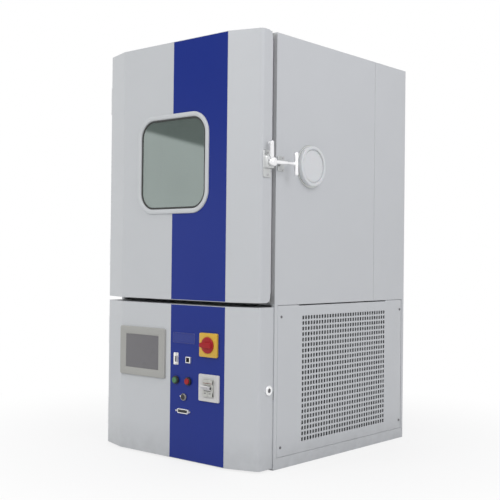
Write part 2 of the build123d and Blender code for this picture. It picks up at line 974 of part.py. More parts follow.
with BuildPart() as window_frame:
    with BuildSketch(facing_front(nose_y)):
        with Locations((0, window_centre_z)):
            RectangleRounded(window_frame_size, window_frame_size, window_frame_radius)
            RectangleRounded(
                window_sight_size,
                window_sight_size,
                window_sight_radius,
                mode=Mode.SUBTRACT,
            )
    extrude(amount=window_frame_proud)
    fillet(window_frame.faces().sort_by(Axis.Y)[0].edges(), window_frame_edge)
save(window_frame, "window_frame")

with BuildPart() as outer_pane:
    with BuildSketch(facing_front(nose_y)):
        with Locations((0, window_centre_z)):
            RectangleRounded(pane_size, pane_size, pane_radius)
    extrude(amount=-outer_pane_thickness)
save(outer_pane, "outer_pane")

with BuildPart() as inner_pane:
    inner_pane_size = window_sight_size - pane_clearance
    with BuildSketch(facing_front(plug_y)):
        with Locations((0, window_centre_z)):
            RectangleRounded(
                inner_pane_size,
                inner_pane_size,
                window_sight_radius - pane_clearance / 2,
            )
    extrude(amount=inner_pane_thickness)
save(inner_pane, "inner_pane")

# Lift-off hinges: the pin leaf is on the cabinet, the socket leaf on the door or panel
def pin_leaf(low_z):
    """Cabinet leaf with the lower knuckle and the fixed pin."""
    knuckle_height = hinge_height / 2 - hinge_knuckle_gap / 2
    with BuildPart() as leaf:
        block(
            (-half_width - hinge_leaf, front_y + hinge_leaf_start - hinge_axis_out, low_z),
            (-half_width, front_y + hinge_leaf_start + hinge_leaf_length, low_z + hinge_height),
        )
        block(
            (-half_width - hinge_leaf, hinge_y, low_z),
            (-half_width, front_y + hinge_leaf_start, low_z + knuckle_height),
        )
        with BuildSketch(Plane.XY.offset(low_z)):
            with Locations((hinge_x, hinge_y)):
                Circle(hinge_knuckle_radius)
        extrude(amount=knuckle_height)
        with BuildSketch(Plane.XY.offset(low_z)):
            with Locations((hinge_x, hinge_y)):
                Circle(hinge_pin_radius)
        extrude(amount=knuckle_height + hinge_pin_overlap)
    return leaf.part


def socket_leaf(low_z):
    """Door leaf with the upper knuckle, bored for the pin."""
    knuckle_low = low_z + hinge_height / 2 + hinge_knuckle_gap / 2
    knuckle_height = hinge_height / 2 - hinge_knuckle_gap / 2
    leaf_near_y = hinge_y - hinge_leaf_start
    with BuildPart() as leaf:
        block(
            (-front_half - hinge_leaf, leaf_near_y - hinge_leaf_length, low_z),
            (-front_half, leaf_near_y, low_z + hinge_height),
        )
        block(
            (-front_half - hinge_leaf, leaf_near_y, knuckle_low),
            (-front_half, hinge_y, knuckle_low + knuckle_height),
        )
        with BuildSketch(Plane.XY.offset(knuckle_low)):
            with Locations((hinge_x, hinge_y)):
                Circle(hinge_knuckle_radius)
        extrude(amount=knuckle_height)
        with BuildSketch(Plane.XY.offset(knuckle_low)):
            with Locations((hinge_x, hinge_y)):
                Circle(hinge_pin_radius + hinge_pin_clearance)
        extrude(amount=hinge_pin_overlap + hinge_knuckle_gap, mode=Mode.SUBTRACT)
    return leaf.part


hinge_places = {
    "door_hinge_upper": door_top_z - door_hinge_inset - hinge_height,
    "door_hinge_lower": door_bottom_z + door_hinge_inset,
    "panel_hinge_upper": panel_top_z - panel_hinge_inset - hinge_height,
    "panel_hinge_lower": panel_bottom_z + panel_hinge_inset,
}
for hinge_name, hinge_low_z in hinge_places.items():
    with BuildPart() as hinge_pin_leaf:
        add(pin_leaf(hinge_low_z))
    save(hinge_pin_leaf, f"{hinge_name}_pin")
    with BuildPart() as hinge_socket_leaf:
        add(socket_leaf(hinge_low_z))
    save(hinge_socket_leaf, f"{hinge_name}_socket")

# Door latch: bracket on the door, lever with a T grip, keeper on the cabinet
latch_plate_x = front_half + latch_plate_thickness
latch_block_x = latch_plate_x + latch_block_rise
with BuildPart() as latch_bracket:
    plate_middle = (latch_plate_top - latch_plate_bottom) / 2
    with BuildSketch(facing_right(front_half)):
        with Locations((latch_y, latch_z + plate_middle)):
            RectangleRounded(
                latch_plate_width,
                latch_plate_top + latch_plate_bottom,
                latch_plate_radius,
            )
    extrude(amount=latch_plate_thickness)
    with BuildSketch(facing_right(latch_plate_x)):
        with Locations((latch_y, latch_z)):
            RectangleRounded(latch_block_length, latch_block_height, latch_block_radius)
    extrude(amount=latch_block_rise)
    with BuildSketch(facing_right(latch_block_x)):
        with Locations((latch_y, latch_z)):
            Circle(latch_pin_radius + latch_pin_clearance)
    extrude(amount=-latch_block_rise, mode=Mode.SUBTRACT)
save(latch_bracket, "latch_bracket")

latch_hub_x = latch_block_x + latch_hub_gap
keeper_plate_x = half_width + keeper_plate_thickness
with BuildPart() as latch_lever:
    with BuildSketch(facing_right(latch_hub_x)):
        with Locations((latch_y, latch_z)):
            Circle(latch_hub_radius)
    extrude(amount=latch_hub_thickness)
    fillet(
        latch_lever.edges().filter_by(GeomType.CIRCLE).sort_by(Axis.X)[-1], latch_hub_edge
    )
    with BuildSketch(facing_right(latch_hub_x)):
        with Locations((latch_y, latch_z)):
            Circle(latch_pin_radius)
    extrude(amount=-(latch_block_rise - latch_hub_gap))
    # Cam arm, which points up when the latch is released
    with BuildSketch(facing_right(latch_hub_x)):
        with Locations((latch_y, latch_z + latch_arm_radius / 2)):
            Rectangle(latch_arm_width, latch_arm_radius)
        with Locations((latch_y, latch_z + latch_arm_radius)):
            Circle(latch_arm_width / 2)
    extrude(amount=latch_arm_thickness)
    with BuildSketch(facing_right(latch_hub_x)):
        with Locations((latch_y, latch_z + latch_arm_radius)):
            Circle(latch_tip_radius)
    extrude(amount=-(latch_hub_x - keeper_plate_x - latch_tip_clearance))
    # Rod to the T grip, leaning out from the side
    rod_start = Vector(latch_hub_x + latch_hub_thickness / 2, latch_y, latch_z)
    rod_end = rod_start + Vector(latch_rod_lean, latch_rod_length, 0)
    with BuildSketch(Plane(origin=rod_start, z_dir=rod_end - rod_start)):
        Circle(latch_rod_radius)
    extrude(amount=(rod_end - rod_start).length)
    with BuildSketch(Plane.XY.offset(latch_z - latch_grip_length / 2)):
        with Locations((rod_end.X, rod_end.Y)):
            Circle(latch_grip_radius)
    extrude(amount=latch_grip_length)
    grip_ends = latch_lever.edges().filter_by(GeomType.CIRCLE).group_by(Axis.Z)
    fillet([grip_ends[0][0], grip_ends[-1][0]], latch_grip_edge)
save(latch_lever, "latch_lever")

with BuildPart() as latch_keeper:
    with BuildSketch(facing_right(half_width)):
        with Locations((front_y + keeper_start + keeper_plate_length / 2, latch_z)):
            Rectangle(keeper_plate_length, keeper_plate_height)
    extrude(amount=keeper_plate_thickness)
    fillet(
        latch_keeper.edges().filter_by(Axis.X).group_by(Axis.Y)[-1],
        keeper_plate_thickness,
    )
    lip_low = latch_z - keeper_lip_height / 2
    lip_high = latch_z + keeper_lip_height / 2
    block(
        (keeper_plate_x, front_y + keeper_start, lip_low),
        (
            keeper_plate_x + keeper_lip_rise,
            front_y + keeper_start + keeper_lip_thickness,
            lip_high,
        ),
    )
save(latch_keeper, "latch_keeper")

# Control panel
with BuildPart() as control_panel:
    add(front_skin(panel_bottom_z, panel_top_z, front_y - panel_clearance))
    with BuildSketch(facing_front(nose_y)):
        with Locations((touch_x, touch_z)):
            Rectangle(
                touch_width - 2 * touch_wall_inset + 2 * socket_clearance,
                touch_height - 2 * touch_wall_inset + 2 * socket_clearance,
            )
        with Locations((switch_x, switch_z)):
            Circle(switch_neck_radius + socket_clearance)
        with Locations((breaker_x, breaker_z)):
            Rectangle(
                breaker_width + 2 * breaker_clearance,
                breaker_height + 2 * breaker_clearance,
            )
        with Locations((green_button_x, button_z), (red_button_x, button_z)):
            Circle(button_barrel_radius + socket_clearance)
        with Locations((round_socket_x, round_socket_z)):
            Circle(round_socket_radius - socket_wall + socket_clearance)
        for x, z, width, height in (
            (serial_socket_x, serial_socket_z, serial_socket_width, serial_socket_height),
            (network_socket_x, network_socket_z, network_socket_width, network_socket_height),
            (
                parallel_socket_x,
                parallel_socket_z,
                parallel_socket_width,
                parallel_socket_height,
            ),
        ):
            with Locations((x, z)):
                Rectangle(
                    width - 2 * socket_wall + 2 * socket_clearance,
                    height - 2 * socket_wall + 2 * socket_clearance,
                )
    extrude(amount=-front_sheet, mode=Mode.SUBTRACT)
    with BuildSketch(facing_right(front_half)):
        with Locations((lock_y, lock_z)):
            Circle(lock_barrel_radius + lock_hole_clearance)
    extrude(amount=-front_sheet, mode=Mode.SUBTRACT)
save(control_panel, "control_panel")

with BuildPart() as touch_panel:
    with BuildSketch(facing_front(nose_y)):
        with Locations((touch_x, touch_z)):
            RectangleRounded(touch_width, touch_height, touch_radius)
    extrude(amount=touch_proud)
    fillet(touch_panel.faces().sort_by(Axis.Y)[0].edges(), touch_edge)
    with BuildSketch(facing_front(nose_y)):
        with Locations((touch_x, touch_z)):
            Rectangle(
                touch_width - 2 * touch_wall_inset, touch_height - 2 * touch_wall_inset
            )
    extrude(amount=-touch_behind)
    with BuildSketch(facing_front(nose_y - touch_proud)):
        with Locations((touch_x, touch_z)):
            Rectangle(screen_width, screen_height)
    extrude(amount=-(screen_recess + screen_thickness), mode=Mode.SUBTRACT)
save(touch_panel, "touch_panel")

with BuildPart() as touch_screen:
    with BuildSketch(facing_front(nose_y - touch_proud + screen_recess)):
        with Locations((touch_x, touch_z)):
            Rectangle(screen_width, screen_height)
    extrude(amount=-screen_thickness)
save(touch_screen, "touch_screen")

# Main switch
switch_face_y = nose_y - switch_plate_thickness
with BuildPart() as main_switch_base:
    with BuildSketch(facing_front(nose_y)):
        with Locations((switch_x, switch_z)):
            RectangleRounded(switch_plate_size, switch_plate_size, switch_plate_radius)
    extrude(amount=switch_plate_thickness)
    fillet(main_switch_base.faces().sort_by(Axis.Y)[0].edges(), switch_plate_edge)
    with BuildSketch(facing_front(nose_y)):
        with Locations((switch_x, switch_z)):
            Circle(switch_neck_radius)
    extrude(amount=-2 * front_sheet)
    with BuildSketch(facing_front(nose_y + front_sheet)):
        with Locations((switch_x, switch_z)):
            Rectangle(switch_body_size, switch_body_size)
    extrude(amount=-switch_body_depth)
    with BuildSketch(facing_front(switch_face_y)):
        with Locations((switch_x, switch_z)):
            Circle(switch_shaft_radius + switch_shaft_clearance)
    extrude(amount=-(switch_shaft_length + knob_gap), mode=Mode.SUBTRACT)
save(main_switch_base, "main_switch_base")

knob_back_y = switch_face_y - knob_gap
with BuildPart() as main_switch_knob:
    with BuildSketch(facing_front(knob_back_y)):
        with Locations((switch_x, switch_z)):
            Circle(knob_radius)
    extrude(amount=knob_thickness)
    # The grip is level and points left when the switch is off.
    grip_x = switch_x - knob_pointer_reach + knob_grip_length / 2
    with BuildSketch(facing_front(knob_back_y)):
        with Locations((grip_x, switch_z)):
            SlotOverall(knob_grip_length, knob_grip_width)
    extrude(amount=knob_thickness + knob_grip_height)
    fillet(main_switch_knob.faces().sort_by(Axis.Y)[0].edges(), knob_grip_edge)
    with BuildSketch(facing_front(knob_back_y)):
        with Locations((switch_x, switch_z)):
            Circle(switch_shaft_radius)
    extrude(amount=-switch_shaft_length)
save(main_switch_knob, "main_switch_knob")

# Circuit breaker behind its white frame
toggle_y = nose_y - breaker_proud
with BuildPart() as breaker_frame:
    with BuildSketch(facing_front(nose_y)):
        with Locations((breaker_x, breaker_z)):
            RectangleRounded(breaker_frame_width, breaker_frame_height, breaker_frame_radius)
            Rectangle(
                breaker_width + 2 * breaker_clearance,
                breaker_height + 2 * breaker_clearance,
                mode=Mode.SUBTRACT,
            )
    extrude(amount=breaker_frame_thickness)
    outer_edges = breaker_frame.faces().sort_by(Axis.Y)[0].outer_wire().edges()
    fillet(outer_edges, breaker_frame_edge)
save(breaker_frame, "breaker_frame")

with BuildPart() as breaker_body:
    with BuildSketch(facing_front(nose_y + front_sheet)):
        with Locations((breaker_x, breaker_z)):
            Rectangle(breaker_width, breaker_height)
    extrude(amount=breaker_proud + front_sheet)
    with BuildSketch(facing_front(nose_y + front_sheet)):
        with Locations((breaker_x, breaker_z)):
            Rectangle(breaker_width, breaker_back_height)
    extrude(amount=-breaker_depth)
    with BuildSketch(facing_right(breaker_x - toggle_width / 2 - toggle_clearance)):
        with Locations((toggle_y, breaker_z)):
            Circle(toggle_hub_radius + toggle_clearance)
    extrude(amount=toggle_width + 2 * toggle_clearance, mode=Mode.SUBTRACT)
save(breaker_body, "breaker_body")

with BuildPart() as breaker_toggle:
    with BuildSketch(facing_right(breaker_x - toggle_width / 2)):
        with Locations((toggle_y, breaker_z)):
            Circle(toggle_hub_radius)
        lever_reach = toggle_hub_radius + toggle_lever_length
        with Locations(Location((toggle_y, breaker_z), 180 - toggle_rest_tilt)):
            with Locations((lever_reach / 2, 0)):
                RectangleRounded(lever_reach, toggle_lever_thickness, toggle_lever_radius)
    extrude(amount=toggle_width)
save(breaker_toggle, "breaker_toggle")

# Push buttons
sleeve_face_y = nose_y - button_sleeve_proud
with BuildPart() as button_sleeves:
    for x in (green_button_x, red_button_x):
        with BuildSketch(facing_front(nose_y)):
            with Locations((x, button_z)):
                Circle(button_sleeve_radius)
        extrude(amount=button_sleeve_proud)
        with BuildSketch(facing_front(nose_y)):
            with Locations((x, button_z)):
                Circle(button_barrel_radius)
        extrude(amount=-button_barrel_length)
        with BuildSketch(facing_front(sleeve_face_y)):
            with Locations((x, button_z)):
                Circle(button_radius + button_clearance)
        extrude(amount=-(button_sleeve_proud - button_floor), mode=Mode.SUBTRACT)
save(button_sleeves, "button_sleeves")

for x, name in ((green_button_x, "green_button"), (red_button_x, "red_button")):
    button_back_y = nose_y - button_floor - button_travel - button_clearance
    with BuildPart() as push_button:
        with BuildSketch(facing_front(button_back_y)):
            with Locations((x, button_z)):
                Circle(button_radius)
        extrude(amount=button_back_y - sleeve_face_y + button_stand_out)
        fillet(
            push_button.edges().filter_by(GeomType.CIRCLE).sort_by(Axis.Y)[0], button_edge
        )
    save(push_button, name)


# Sockets: a flange on the panel face, a hollow shell and a body behind the sheet
def socket_body(x, z, width, height):
    """Rectangular connector with a rim that stands out from its flange."""
    inner_width = width - 2 * socket_wall
    inner_height = height - 2 * socket_wall
    with BuildPart() as socket:
        with BuildSketch(facing_front(nose_y)):
            with Locations((x, z)):
                RectangleRounded(width, height, socket_flange_radius)
        extrude(amount=socket_flange)
        with BuildSketch(facing_front(nose_y)):
            with Locations((x, z)):
                Rectangle(inner_width, inner_height)
        extrude(amount=socket_proud)
        with BuildSketch(facing_front(nose_y)):
            with Locations((x, z)):
                Rectangle(inner_width, inner_height)
        extrude(amount=-socket_behind)
        with BuildSketch(facing_front(nose_y - socket_proud)):
            with Locations((x, z)):
                Rectangle(inner_width - socket_wall, inner_height - socket_wall)
        extrude(amount=-socket_proud, mode=Mode.SUBTRACT)
    return socket.part


with BuildPart() as data_sockets:
    add(
        socket_body(
            serial_socket_x, serial_socket_z, serial_socket_width, serial_socket_height
        )
    )
    add(
        socket_body(
            network_socket_x,
            network_socket_z,
            network_socket_width,
            network_socket_height,
        )
    )
    add(
        socket_body(
            parallel_socket_x,
            parallel_socket_z,
            parallel_socket_width,
            parallel_socket_height,
        )
    )
    with BuildSketch(facing_front(nose_y)):
        with Locations((round_socket_x, round_socket_z)):
            Circle(round_socket_radius)
    extrude(amount=socket_proud)
    with BuildSketch(facing_front(nose_y)):
        with Locations((round_socket_x, round_socket_z)):
            Circle(round_socket_radius - socket_wall)
    extrude(amount=-socket_behind)
    with BuildSketch(facing_front(nose_y - socket_proud)):
        with Locations((round_socket_x, round_socket_z)):
            Circle(round_socket_radius - 2 * socket_wall)
    extrude(amount=-socket_proud, mode=Mode.SUBTRACT)
save(data_sockets, "data_sockets")

# Key lock in the right return of the control panel
barrel_end_x = front_half - lock_barrel_length
with BuildPart() as lock_body:
    with BuildSketch(facing_right(front_half)):
        with Locations((lock_y, lock_z)):
            Circle(lock_bezel_radius)
    extrude(amount=lock_bezel_thickness)
    fillet(
        lock_body.edges().filter_by(GeomType.CIRCLE).sort_by(Axis.X)[-1], lock_bezel_edge
    )
    with BuildSketch(facing_right(front_half)):
        with Locations((lock_y, lock_z)):
            Circle(lock_barrel_radius)
    extrude(amount=-lock_barrel_length)
    with BuildSketch(facing_right(barrel_end_x)):
        with Locations((lock_y, lock_z)):
            Circle(lock_rotor_radius + lock_rotor_clearance)
    extrude(amount=lock_barrel_length + lock_bezel_thickness, mode=Mode.SUBTRACT)
save(lock_body, "lock_body")

arm_face_x = barrel_end_x - lock_arm_gap
with BuildPart() as lock_rotor:
    with BuildSketch(facing_right(arm_face_x)):
        with Locations((lock_y, lock_z)):
            Circle(lock_rotor_radius)
    extrude(amount=front_half + lock_bezel_thickness - arm_face_x)
    with BuildSketch(facing_right(front_half + lock_bezel_thickness)):
        with Locations((lock_y, lock_z)):
            Rectangle(lock_keyway_width, lock_keyway_length)
    extrude(amount=-lock_keyway_depth, mode=Mode.SUBTRACT)
    # Cam arm, which points down when the panel is unlocked
    with BuildSketch(facing_right(arm_face_x - lock_arm_thickness)):
        with Locations((lock_y, lock_z - lock_arm_radius / 2)):
            Rectangle(lock_arm_width, lock_arm_radius)
        with Locations((lock_y, lock_z)):
            Circle(lock_rotor_radius)
        with Locations((lock_y, lock_z - lock_arm_radius)):
            Circle(lock_arm_width / 2)
    extrude(amount=lock_arm_thickness)
    tip_end_x = front_half - front_sheet - lock_tip_clearance
    with BuildSketch(facing_right(arm_face_x - lock_arm_thickness)):
        with Locations((lock_y, lock_z - lock_arm_radius)):
            Circle(lock_tip_radius)
    extrude(amount=tip_end_x - arm_face_x + lock_arm_thickness)
save(lock_rotor, "lock_rotor")

# Refrigeration in the machine bay
bay_floor_z = frame_sheet
compressor_y = front_y + compressor_from_front
with BuildPart() as compressor:
    with Locations((compressor_x, compressor_y, bay_floor_z)):
        Box(
            compressor_foot_size,
            compressor_foot_size,
            compressor_foot,
            align=(Align.CENTER, Align.CENTER, Align.MIN),
        )
    with BuildSketch(Plane.XY.offset(bay_floor_z + compressor_foot)):
        with Locations((compressor_x, compressor_y)):
            Circle(compressor_radius)
    extrude(amount=compressor_height)
    fillet(
        compressor.edges().filter_by(GeomType.CIRCLE).sort_by(Axis.Z)[-1],
        compressor_dome,
    )
save(compressor, "compressor")

condenser_outer_x = half_width - panel_fold - condenser_gap
condenser_inner_x = condenser_outer_x - condenser_thickness
condenser_low_z = vent_centre_z - condenser_height / 2
with BuildPart() as condenser_coil:
    fins = int((condenser_width - condenser_fin_thickness) // condenser_fin_pitch)
    with BuildSketch(Plane.XY.offset(condenser_low_z)):
        with Locations(((condenser_inner_x + condenser_outer_x) / 2, vent_centre_y)):
            Rectangle(condenser_root, condenser_width)
            with GridLocations(1, condenser_fin_pitch, 1, fins + 1):
                Rectangle(condenser_thickness, condenser_fin_thickness)
    extrude(amount=condenser_height)
    foot_half = condenser_root / 2
    condenser_middle_x = (condenser_inner_x + condenser_outer_x) / 2
    for end in (-1, 1):
        end_y = vent_centre_y + end * (condenser_width - condenser_fin_pitch) / 2
        block(
            (condenser_middle_x - foot_half, end_y - foot_half, bay_floor_z),
            (condenser_middle_x + foot_half, end_y + foot_half, condenser_low_z),
        )
save(condenser_coil, "condenser_coil")

shroud_x = condenser_inner_x - shroud_thickness
fan_motor_x = shroud_x - fan_motor_length
with BuildPart() as fan_shroud:
    with BuildSketch(facing_right(shroud_x)):
        with Locations((vent_centre_y, vent_centre_z)):
            Rectangle(condenser_width, condenser_height)
            Circle(shroud_mouth_radius, mode=Mode.SUBTRACT)
    extrude(amount=shroud_thickness)
    # Motor held by two arms behind the fan
    with BuildSketch(facing_right(fan_motor_x)):
        with Locations((vent_centre_y, vent_centre_z)):
            Circle(fan_motor_radius)
            Rectangle(2 * shroud_mouth_radius + fan_arm_width * 2, fan_arm_width)
    extrude(amount=fan_arm_width)
    for end in (-1, 1):
        arm_y = vent_centre_y + end * (shroud_mouth_radius + fan_arm_width / 2)
        block(
            (fan_motor_x, arm_y - fan_arm_width / 2, vent_centre_z - fan_arm_width / 2),
            (shroud_x, arm_y + fan_arm_width / 2, vent_centre_z + fan_arm_width / 2),
        )
    with BuildSketch(facing_right(fan_motor_x)):
        with Locations((vent_centre_y, vent_centre_z)):
            Circle(shaft_radius)
    extrude(amount=fan_shaft_reach)
save(fan_shroud, "fan_shroud")

fan_x = fan_motor_x + fan_arm_width + fan_arm_gap
with BuildPart() as cooling_fan:
    with BuildSketch(facing_right(fan_x)):
        with Locations((vent_centre_y, vent_centre_z)):
            Circle(cooling_fan_hub_radius)
    extrude(amount=cooling_fan_width)
    for blade in range(cooling_fan_blades):
        spoke = Plane(
            origin=(fan_x + cooling_fan_width / 2, vent_centre_y, vent_centre_z),
            x_dir=(1, 0, 0),
            z_dir=Vector(0, 0, 1).rotate(Axis.X, 360 * blade / cooling_fan_blades),
        )
        with BuildSketch(spoke):
            Rectangle(
                blade_root_width,
                fan_blade_thickness,
                rotation=90 - cooling_fan_pitch,
            )
        with BuildSketch(spoke.offset(cooling_fan_radius)):
            Rectangle(
                blade_tip_width,
                fan_blade_thickness,
                rotation=90 - blade_tip_pitch,
            )
        loft()
    with BuildSketch(facing_right(fan_x)):
        with Locations((vent_centre_y, vent_centre_z)):
            Circle(shaft_radius + shaft_clearance)
    extrude(amount=cooling_fan_width, mode=Mode.SUBTRACT)
save(cooling_fan, "cooling_fan")

with BuildPart() as electric_box:
    box_low_y = front_y + electric_box_from_front
    box_low_x = -half_width + panel_fold + condenser_gap
    block(
        (box_low_x, box_low_y, bay_floor_z),
        (
            box_low_x + electric_box_width,
            box_low_y + electric_box_depth,
            bay_floor_z + electric_box_height,
        ),
    )
    fillet(electric_box.edges().filter_by(Axis.Z), electric_box_radius)
save(electric_box, "electric_box")

with BuildPart() as supply_inlet:
    with BuildSketch(facing_front(rear_y)):
        with Locations((gland_x, gland_z)):
            RegularPolygon(gland_radius, 6)
    extrude(amount=-gland_nut_thickness)
    with BuildSketch(facing_front(rear_y + gland_length)):
        with Locations((gland_x, gland_z)):
            Circle(gland_body_radius)
    extrude(amount=2 * gland_length)
    with BuildSketch(facing_front(rear_y + gland_length)):
        with Locations((gland_x, gland_z)):
            Circle(gland_bore_radius)
    extrude(amount=2 * gland_length, mode=Mode.SUBTRACT)
save(supply_inlet, "supply_inlet")
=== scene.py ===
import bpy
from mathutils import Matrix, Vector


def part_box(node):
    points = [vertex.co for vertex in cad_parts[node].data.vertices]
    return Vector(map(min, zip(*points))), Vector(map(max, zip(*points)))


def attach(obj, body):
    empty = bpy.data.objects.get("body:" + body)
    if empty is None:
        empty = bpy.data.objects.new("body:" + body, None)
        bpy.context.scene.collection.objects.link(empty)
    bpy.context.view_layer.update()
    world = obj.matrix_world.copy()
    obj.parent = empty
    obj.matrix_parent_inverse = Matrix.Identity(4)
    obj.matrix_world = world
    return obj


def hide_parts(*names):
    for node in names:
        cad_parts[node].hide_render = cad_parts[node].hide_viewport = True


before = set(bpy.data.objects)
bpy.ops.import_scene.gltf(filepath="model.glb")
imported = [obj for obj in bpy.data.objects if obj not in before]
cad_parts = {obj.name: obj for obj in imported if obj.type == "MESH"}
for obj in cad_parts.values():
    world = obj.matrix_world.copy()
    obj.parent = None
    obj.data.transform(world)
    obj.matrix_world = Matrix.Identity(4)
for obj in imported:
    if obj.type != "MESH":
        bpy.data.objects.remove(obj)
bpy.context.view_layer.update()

import math

import bmesh
import bpy
from mathutils import Matrix, Vector

mm = 0.001

# Painted sheet steel casing
# The side, top and rear sheets, the plinth tray and the corner posts are folded mild steel,
# powder coated in light grey with a fine orange-peel surface.


class Wire:
    """A value in a node tree. Arithmetic on it adds Math nodes to the same tree."""

    def __init__(self, tree, socket=None):
        self.tree = tree
        self.socket = socket

    def node(self, kind, sockets=None, output=0, **settings):
        """Add a node: its settings first, then the values or wires of its sockets."""
        made = self.tree.nodes.new(kind)
        for name, value in settings.items():
            setattr(made, name, value)
        for name, value in (sockets or {}).items():
            if isinstance(value, Wire):
                self.tree.links.new(value.socket, made.inputs[name])
            else:
                made.inputs[name].default_value = value
        return Wire(self.tree, made.outputs[output])

    def maths(self, operation, *values, clamp=False):
        """One Math node on the given values or wires."""
        sockets = dict(enumerate(values))
        return self.node("ShaderNodeMath", sockets, operation=operation, use_clamp=clamp)

    def blend(self, factor, first, second):
        """Mix two colours by a factor."""
        return self.node(
            "ShaderNodeMix",
            {0: factor, 6: first, 7: second},
            output=2,
            data_type="RGBA",
        )

    def __add__(self, other):
        return self.maths("ADD", self, other)

    def __radd__(self, other):
        return self.maths("ADD", other, self)

    def __sub__(self, other):
        return self.maths("SUBTRACT", self, other)

    def __rsub__(self, other):
        return self.maths("SUBTRACT", other, self)

    def __mul__(self, other):
        return self.maths("MULTIPLY", self, other)

    def __rmul__(self, other):
        return self.maths("MULTIPLY", other, self)


def surface(name, **sockets):
    """New material with one shader. Returns it, a wire to add nodes with, and the shader."""
    made = bpy.data.materials.new(name)
    made.use_nodes = True
    tree = made.node_tree
    tree.nodes.clear()
    shader = tree.nodes.new("ShaderNodeBsdfPrincipled")
    output = tree.nodes.new("ShaderNodeOutputMaterial")
    tree.links.new(shader.outputs[0], output.inputs[0])
    for label, value in sockets.items():
        shader.inputs[label.replace("_", " ")].default_value = value
    return made, Wire(tree), shader


def plug_in(shader, **wires):
    """Link wires to the shader's sockets."""
    for label, wire in wires.items():
        wire.tree.links.new(wire.socket, shader.inputs[label.replace("_", " ")])


def shaded(colour, factor):
    """A colour made lighter or darker, as four numbers."""
    return (*[channel * factor for channel in colour], 1.0)


def coated(
    name, colour, roughness, grain, relief, mottle=0.03, soiling=0.0, uneven=0.12, **sockets
):
    """Paint or moulded plastic: fine grain, faint mottling and an uneven sheen."""
    made, wire, shader = surface(name, **sockets)
    place = wire.node("ShaderNodeTexCoord", output="Object")
    fine = wire.node("ShaderNodeTexNoise", {"Vector": place, "Scale": grain, "Detail": 3.0})
    broad = wire.node("ShaderNodeTexNoise", {"Vector": place, "Scale": 9.0, "Detail": 4.0})
    tone = wire.blend(broad, shaded(colour, 1 + mottle), shaded(colour, 1 - mottle))
    if soiling:
        # Scuffs and dust gather near the floor.
        height = wire.node("ShaderNodeSeparateXYZ", {0: place}, output="Z")
        low = wire.maths("SUBTRACT", 1.0, height * 11.0, clamp=True)
        scuffs = wire.node(
            "ShaderNodeTexNoise", {"Vector": place, "Scale": 38.0, "Detail": 6.0}
        )
        tone = wire.blend(low * scuffs * soiling, tone, shaded(colour, 0.45))
    bump = wire.node(
        "ShaderNodeBump", {"Height": fine, "Strength": 0.5, "Distance": relief}
    )
    plug_in(
        shader,
        Base_Color=tone,
        Roughness=roughness + (broad - 0.5) * uneven + (fine - 0.5) * uneven * 0.4,
        Normal=bump,
    )
    return made


def dress(finish, *nodes):
    """Give CAD nodes a finish in place of their plain one."""
    for node in nodes:
        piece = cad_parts[node]
        if not piece.material_slots:
            piece.data.materials.append(finish)
        for slot in piece.material_slots:
            slot.material = finish


grey_colour = (0.585, 0.603, 0.622)
grey_paint = coated(
    "light_grey_paint",
    grey_colour,
    roughness=0.40,
    grain=420.0,
    relief=0.00016,
    mottle=0.018,
    soiling=0.5,
    Specular_IOR_Level=0.45,
)
dress(
    grey_paint,
    "casing_left",
    "casing_right_front",
    "casing_right_rear",
    "casing_top",
    "casing_back",
    "lower_frame",
    "corner_posts",
    "side_plain_panel",
    "rear_bay_panel",
)

# Perforated side panel of the machine bay
# One folded sheet with 33 columns of 23 punched oblong holes, screwed on at its corners.
# A shallow step in its top edge leaves a finger gap under the deck.


def on_front(x, y, z):
    """Places (across, up, out) on a surface that faces the user."""
    return lambda u, v, w: Vector((x + u, y - w, z + v))


def on_right(x, y, z):
    """Places (to the rear, up, out) on a surface that faces right."""
    return lambda u, v, w: Vector((x + w, y + u, z + v))


def inset_corners(corners, distance):
    """Move every side of an outline inwards by a distance."""
    moved = []
    count = len(corners)
    for index in range(count):
        here = Vector(corners[index])
        before = (here - Vector(corners[index - 1])).normalized()
        after = (Vector(corners[(index + 1) % count]) - here).normalized()
        side_before = Vector((-before.y, before.x))
        side_after = Vector((-after.y, after.x))
        scale = distance / (1 + side_before.dot(side_after))
        moved.append(here + (side_before + side_after) * scale)
    return moved


def rounded_loop(corners, radius, steps=6):
    """Outline with arcs at its corners; steps + 1 points each, so loops match in number."""
    loop = []
    count = len(corners)
    for index in range(count):
        here = Vector(corners[index])
        before = (here - Vector(corners[index - 1])).normalized()
        after = (Vector(corners[(index + 1) % count]) - here).normalized()
        turn = math.atan2(before.x * after.y - before.y * after.x, before.dot(after))
        side = Vector((-before.y, before.x)) * (1 if turn > 0 else -1)
        start = here - before * radius * abs(math.tan(turn / 2))
        centre = start + side * radius
        arm = start - centre
        for step in range(steps + 1):
            angle = turn * step / steps
            loop.append(
                centre
                + Vector(
                    (
                        arm.x * math.cos(angle) - arm.y * math.sin(angle),
                        arm.x * math.sin(angle) + arm.y * math.cos(angle),
                    )
                )
            )
    return loop


def rectangle(width, height, u=0.0, v=0.0):
    """Corners of a rectangle, anticlockwise."""
    a, b = width / 2, height / 2
    return [(u - a, v - b), (u + a, v - b), (u + a, v + b), (u - a, v + b)]


def circle(radius, steps=48, u=0.0, v=0.0):
    """Points on a circle, anticlockwise."""
    turns = [2 * math.pi * step / steps for step in range(steps)]
    return [(u + radius * math.cos(t), v + radius * math.sin(t)) for t in turns]


